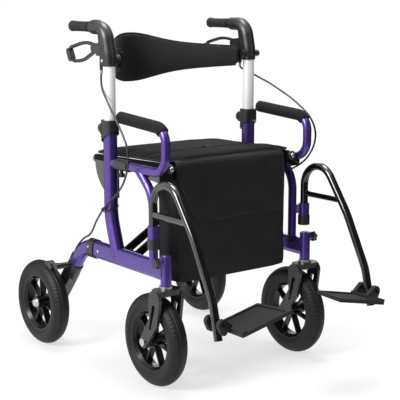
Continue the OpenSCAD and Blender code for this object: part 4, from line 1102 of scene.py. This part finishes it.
@dataclass
class ArmFoam:
    """Foam sleeve over the armrest tube and round its front bend."""

    side: Side
    radius: float = 15.0
    rear: Point = (-HALF_W, -45.0, 645.74)
    hub: Point = (-HALF_W, -199.0, 598.25)
    bend_r: float = 38.0
    rise_deg: float = 3.5
    turn_deg: float = 48.0
    end_in: float = 3.0
    end_over: float = 4.0

    def build(self, palette: Palette) -> None:
        """Makes the sleeve with its rounded ends."""
        turns = [math.radians(t) for t in spaced(self.rise_deg, self.turn_deg, 16)]
        round_the_front = [(self.hub[0], self.hub[1] - self.bend_r * math.sin(t),
                            self.hub[2] + self.bend_r * math.cos(t)) for t in turns]
        bend = [Vector(self.side.at(p)) for p in (self.rear, *round_the_front)]
        length = lengths_along(bend)[-1]
        line = self.even(bend, 64)
        skin = loft(sweep(line, lambda share: round_section(self.swell(share, length), 28)))
        foam = make_piece(self.side.called("arm_foam"), skin, palette.foam)
        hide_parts(self.side.called("armrest_pad"))
        settle(foam, self.side.called("side"))

    def swell(self, share: float, length: float) -> float:
        """Gives the foam's radius, rounded off over the last millimetres of each end."""
        edge = min(share, 1 - share) * length
        return self.radius - self.end_in * max(0.0, 1 - edge / self.end_over) ** 2

    @staticmethod
    def even(line: Sequence[Vector], count: int) -> list[Vector]:
        """Spaces a line's stations evenly, closer at its two ends.

        Args:
            line: The line's stations.
            count: Number of stations wanted.

        Returns:
            The new stations.
        """
        lengths = lengths_along(line)
        wanted = [lengths[-1] * (0.5 - 0.5 * math.cos(math.pi * k / count)) for k in range(count + 1)]
        stations = []
        i = 0
        for reach in wanted:
            while i < len(line) - 2 and lengths[i + 1] < reach:
                i += 1
            share = (reach - lengths[i]) / (lengths[i + 1] - lengths[i])
            stations.append(line[i].lerp(line[i + 1], min(1.0, max(0.0, share))))
        return stations


# Wheels and grips


@dataclass
class Tyre:
    """Fat tyre with two grooves round it and short cuts across its tread."""

    name: str
    node: str
    body: str
    centre: Point
    radius: float = 115.0
    width: float = 48.0
    rim_r: float = 77.0
    blocks: int = 64
    cut_deep: float = 1.3
    cut_from: float = 9.0
    cut_to: float = 20.0
    tread_deep: float = 13.0
    groove_deep: float = 1.8
    groove_deg: float = 20.0
    groove_wide: float = 2.6
    bead_deep: float = 1.0
    bead_deg: float = 112.0
    bead_wide: float = 2.4

    def build(self, palette: Palette) -> None:
        """Makes the tyre's skin, ring by ring round the wheel."""
        section = self.section()
        per_block = 4
        count = self.blocks * per_block
        points = []
        for i in range(count):
            turn = 2 * math.pi * i / count
            cut = i % per_block == 0
            for radius, across in section:
                tread = self.cut_from < abs(across) < self.cut_to and radius > self.radius - self.tread_deep
                r = radius - (self.cut_deep if cut and tread else 0.0)
                points.append((self.centre[0] + across, self.centre[1] + r * math.cos(turn),
                               self.centre[2] + r * math.sin(turn)))
        wide = len(section)
        faces = []
        for i in range(count):
            near, far = i * wide, (i + 1) % count * wide
            for k in range(wide):
                j = (k + 1) % wide
                faces.append([near + k, near + j, far + j, far + k])
        tyre = make_piece(self.name, (points, faces), palette.tyre, 50.0)
        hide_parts(self.node)
        settle(tyre, self.body)

    def section(self) -> list[tuple[float, float]]:
        """Gives the tyre's section as pairs of radius and place across the wheel."""
        round_r = self.width / 2
        middle = self.radius - round_r
        start = math.acos((self.rim_r - middle) / round_r)
        section = []
        for a in spaced(-start, start, 60):
            off = abs(math.degrees(a))
            groove = self.groove_deep * math.exp(-((off - self.groove_deg) / self.groove_wide) ** 4)
            bead = self.bead_deep * math.exp(-((off - self.bead_deg) / self.bead_wide) ** 4)
            r = round_r - max(groove, bead)
            section.append((middle + r * math.cos(a), r * math.sin(a)))
        return section


@dataclass
class Grip:
    """Rubber grip with ribs near its root and a flat end."""

    side: Side
    root: float = 72.0
    axis_z: float = 862.0
    length: float = 98.0
    radius: float = 13.0
    waist: float = 0.3
    ribs: int = 3
    rib_from: float = 6.0
    rib_step: float = 4.6
    barrel_from: float = 20.5
    barrel_to: float = 89.0

    def build(self, palette: Palette) -> None:
        """Turns the grip."""
        profile = [(9.4, 0.0), (14.2, 0.2), (14.6, 1.2), (14.6, 4.0), (14.0, 5.0)]
        for rib in range(self.ribs):
            at = self.rib_from + self.rib_step * rib
            profile += [(12.0, at), (12.0, at + 1.2), (13.2, at + 1.6), (13.2, at + 3.6), (12.4, at + 4.2)]
        for share in spaced(0, 1, 14):
            barrel = self.radius - self.waist * math.sin(math.pi * share)
            profile.append((barrel, self.barrel_from + share * (self.barrel_to - self.barrel_from)))
        profile += [(13.2, self.length - 8), (13.8, self.length - 6.5), (13.8, self.length - 1.6),
                    (13.2, self.length - 0.5), (11.8, self.length), (4.0, self.length)]
        skin = lathe(self.side.at((-HALF_W, self.root, self.axis_z)), (0, 1, 0), profile, 40)
        grip = make_piece(self.side.called("rubber_grip"), skin, palette.grip)
        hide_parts(self.side.called("grip"))
        settle(grip, self.side.called("handle"))


# Small hardware


@dataclass
class Hardware:
    """Screws, rivets, caps and ties that finish one side."""

    side: Side
    rail_front: Point = (-192, -212, 535)
    rail_along: Point = (0, 1, -0.0349)
    tie_at: Point = (-HALF_W - 3.6, 0.0, 413.0)
    tie_half: Point = (22.2, 18.9, 6.0)
    rib_low: float = 594.0
    rib_step: float = 6.0
    rib_count: int = 6
    rib_from_deg: float = 112.0
    rib_to_deg: float = 196.0
    rib_r: float = 22.5

    def dome(self, name: str, origin: Point, axis: Point, radius: float, height: float, body: str,
             material: bpy.types.Material, slot: Slot) -> None:
        """Sets a domed head with a flat rim and a driver's recess.

        Args:
            name: The piece's name without its side.
            origin: Where the head sits, on the right side.
            axis: The direction that it faces, on the right side.
            radius: The head's radius.
            height: The head's height.
            body: The body that carries it.
            material: The finish.
            slot: The record's slot; not used.
        """
        shares = [(1.0, 0.25), (0.96, 0.45), (0.82, 0.74), (0.6, 0.94), (0.42, 1.0), (0.35, 1.0),
                  (0.35, 0.45)]
        profile = [(radius, -1.0), *[(a * radius, b * height) for a, b in shares]]
        skin = lathe(self.side.at(origin), self.side.at(axis), profile, 28)
        settle(make_piece(self.side.called(name), skin, material, 35.0), body)

    def build(self, palette: Palette) -> None:
        """Sets this side's small pieces."""
        side, handle = self.side.called("side"), self.side.called("handle")
        plastic, steel = (palette.nylon, Slot.PLASTIC), (palette.zinc, Slot.STEEL)
        self.dome("elbow_plug", (-HALF_W - 17.8, 2.9, 820), (-1, -0.14, 0), 4.8, 1.6, handle, *plastic)
        self.dome("elbow_screw", (-HALF_W - 16.8, 7.7, 781), (-1, -0.14, 0), 4.2, 2.2, handle, *steel)
        self.dome("rail_rivet", (-HALF_W - 14.8, 44, 293), (-1, 0, 0), 4.4, 2.4, side, *steel)
        self.dome("band_rivet", (-HALF_W - 17.3, 88, 298), (-1, 0, 0), 3.6, 2.0, side, *steel)
        self.dome("saddle_bolt", (-176.5, -190, 522), (1, 0, 0), 5.0, 3.0, side, *steel)
        self.seat_rail(palette, "fold_b" if self.side is Side.RIGHT else "fold_a")
        self.tie(palette, side)
        self.collar_ribs(palette, side)

    def seat_rail(self, palette: Palette, body: str) -> None:
        """Sleeves the seat rail in the seat's cloth and closes its front end with a cap and its bolt."""
        sleeve = [(11.05, 1.0), (11.3, 2.0), (11.4, 40.0), (11.35, 160.0), (11.4, 280.0), (11.3, 318.0),
                  (11.05, 319.0)]
        cap = [(10.9, 1.0), (11.3, 0.0), (11.3, -2.6), (10.2, -4.6), (7.6, -5.8), (1.5, -6.2)]
        bolt = [(6.2, -5.0), (6.2, -7.4), (5.4, -9.0), (3.6, -10.2), (1.2, -10.6)]
        for name, profile, material, slot in (("seat_rail_sleeve", sleeve, palette.seat_cloth, Slot.CLOTH),
                                              ("seat_rail_cap", cap, palette.nylon, Slot.PLASTIC),
                                              ("seat_rail_bolt", bolt, palette.zinc, Slot.STEEL)):
            skin = lathe(self.side.at(self.rail_front), self.rail_along, profile, 32)
            settle(make_piece(self.side.called(name), skin, material), body)

    def tie(self, palette: Palette, body: str) -> None:
        """Ties the brake cable to the upright."""
        loop = []
        for t in spaced(0, 2 * math.pi, 48):
            turned = (math.cos(t), math.sin(t), math.cos(t))
            spot = [at + half * turn for at, half, turn in zip(self.tie_at, self.tie_half, turned)]
            loop.append(Vector(self.side.at(spot)))
        skin = hoop(loop, flat_section(0.7, 2.2), across=self.side.at((1, 0, 0)))
        settle(make_piece(self.side.called("cable_tie"), skin, palette.nylon), body)

    def collar_ribs(self, palette: Palette, body: str) -> None:
        """Moulds finger ribs round the outer rear quarter of the height clamp."""
        turns = [math.radians(t) for t in spaced(self.rib_from_deg, self.rib_to_deg, 20)]
        for k in range(self.rib_count):
            z = self.rib_low + self.rib_step * k
            arc = [Vector(self.side.at((-HALF_W + self.rib_r * math.cos(t), self.rib_r * math.sin(t), z)))
                   for t in turns]
            skin = loft(sweep(arc, lambda share: round_section(1.3 - 0.9 * (2 * share - 1) ** 6, 8)))
            rib = make_piece(self.side.called(f"collar_rib_{k + 1}"), skin, palette.nylon)
            settle(rib, body)


def dress_frame(frame: dict[str, Any], palette: Palette) -> None:
    """Gives every CAD node the finish of its record slot, and footplates and rims their own plastics."""
    for part in frame["record"]["subparts"]:
        name = part["node"]
        material = palette.of(Slot(part["material_slot"]))
        if name.endswith("footplate"):
            material = palette.polypropylene
        if name.endswith("rim"):
            material = palette.rim
        mesh = frame["nodes"][name].data
        mesh.materials.clear()
        mesh.materials.append(material)
        LOG.info("%s is finished in %s", name, material.name)


def main() -> None:
    """Builds the chair's looks in order."""
    logging.basicConfig(level=logging.INFO, format="%(message)s")
    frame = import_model()
    bpy.context.scene.view_settings.view_transform = "Standard"
    studio = Studio()
    studio.camera()
    studio.world()
    studio.floor()
    studio.cards()
    studio.lights()
    palette = Palette()
    dress_frame(frame, palette)
    for side in Side:
        cable = BrakeCable(side)
        cable.build(palette)
        cable.ferrules(palette)
    seat = SeatPad()
    seat.build(palette)
    seat.trim(palette)
    strap = BackStrap()
    strap.build(palette)
    strap.trim(palette)
    bag = Bag()
    bag.build(palette)
    bag.flap(palette)
    for side in Side:
        ArmFoam(side).build(palette)
        Grip(side).build(palette)
        for end, hub in (("rear", REAR_HUB), ("front", FRONT_HUB)):
            Tyre(side.called(f"{end}_tread"), side.called(f"{end}_tyre"), side.called(f"{end}_wheel"),
                 side.at(hub)).build(palette)
        Hardware(side).build(palette)


if __name__ == "__main__":
    main()
